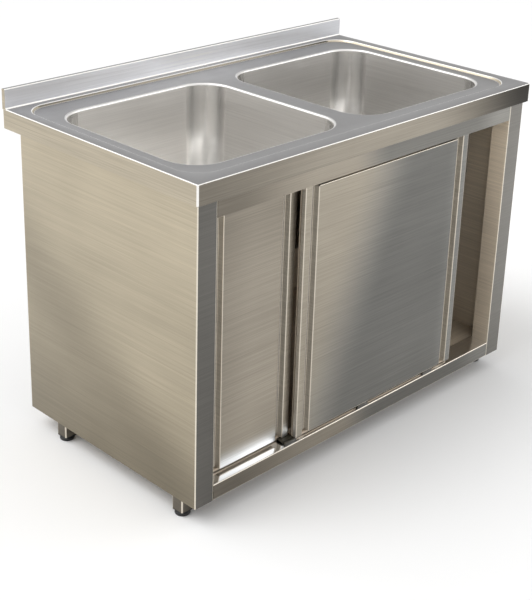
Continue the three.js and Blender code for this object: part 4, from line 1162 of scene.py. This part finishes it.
def makeFloor(s):
    bm = bmesh.new()
    bmesh.ops.create_grid(bm, x_segments=1, y_segments=1, size=s.floorSize)
    floor = addObject("floor", meshFrom(bm, "floor"))
    for v in floor.data.vertices:
        v.co.z = s.floorZ
    material, tree, shader = newMaterial("floorPaint")
    setInputs(shader, {"Base Color": (*s.floor, 1.0), "Roughness": s.floorRoughness,
                       "Specular IOR Level": s.floorShine})
    floor.data.materials.append(material)


# An even white studio, darker overhead and behind the unit, with soft patches above for the metal to show
def makeWorld(s):
    world = bpy.data.worlds.new("studio")
    bpy.context.scene.world = world
    world.use_nodes = True
    tree = world.node_tree
    way = addNode(tree, "TexCoord", {}).outputs["Generated"]
    at = split(tree, way)
    height, behind = at["Z"], combine(tree, at["X"], at["Y"])
    card = multiplied(tree, spread(tree, height, 0.0, 1.0, *s.cardFoot),
                      spread(tree, height, 1.0, 0.0, *s.cardHead))
    card = multiplied(tree, card, spread(tree, behind, 0.0, 1.0, *s.cardSide))
    patches = noiseAt(tree, way, 0.0, 0.5, s.patchPlace)
    tone = multiplied(tree, spread(tree, card, 1.0, s.cardTone, 0.0, 1.0),
                      spread(tree, height, 1.0, s.ceiling, *s.ceilingFrom))
    soft = multiplied(tree, spread(tree, patches, -s.patch, s.patch, *s.patchNoise),
                      spread(tree, height, 0.0, 1.0, *s.patchFrom))
    path = addNode(tree, "LightPath", {}).outputs
    seen = combine(tree, path["Is Camera Ray"], path["Is Glossy Ray"], "MAXIMUM")
    seen = combine(tree, seen, path["Is Transmission Ray"], "MAXIMUM")
    setInputs(tree.nodes["Background"], {
        "Color": combine(tree, tone, soft),
        "Strength": spread(tree, seen, s.strength, s.seenStrength, 0.0, 1.0)})


def addLamp(name, kind, aim, power, place=(0.0, 0.0, 0.0), **settings):
    data = bpy.data.lights.new(name, kind)
    for key, value in settings.items():
        setattr(data, key, value)
    data.energy = power
    lamp = addObject(name, data)
    lamp.location = place
    lamp.rotation_mode = "QUATERNION"
    lamp.rotation_quaternion = (Vector(aim) - Vector(place)).to_track_quat("-Z", "Y")


boxLamps = {  # place, what it is aimed at, size and power
    "backBox": ((-1.5, 2.7, 3.0), (0.0, 0.0, 0.8), (1.3, 1.0), 10.0),
    "edgeBox": ((2.9, -1.6, 3.0), (0.0, 0.0, 0.8), (0.8, 0.8), 6.0),
    "frontBox": ((3.3, -3.1, 1.75), (0.2, 0.0, 0.5), (2.4, 1.4), 20.0),
    "overhead": ((0.0, 0.0, 2.8), (0.0, 0.0, 0.8), (2.0, 1.0), 4.0),
}
makeFloor(stageSettings)
makeWorld(stageSettings)
addLamp("skylight", "SUN", aim=(0.55, -0.25, -0.8), power=1.2, angle=math.radians(40.0))
for name, (place, aim, (wide, high), power) in boxLamps.items():
    addLamp(name, "AREA", aim, power, place, shape="RECTANGLE", size=wide, size_y=high)
print("stage made")

bpy.context.scene.view_settings.view_transform = "Standard"
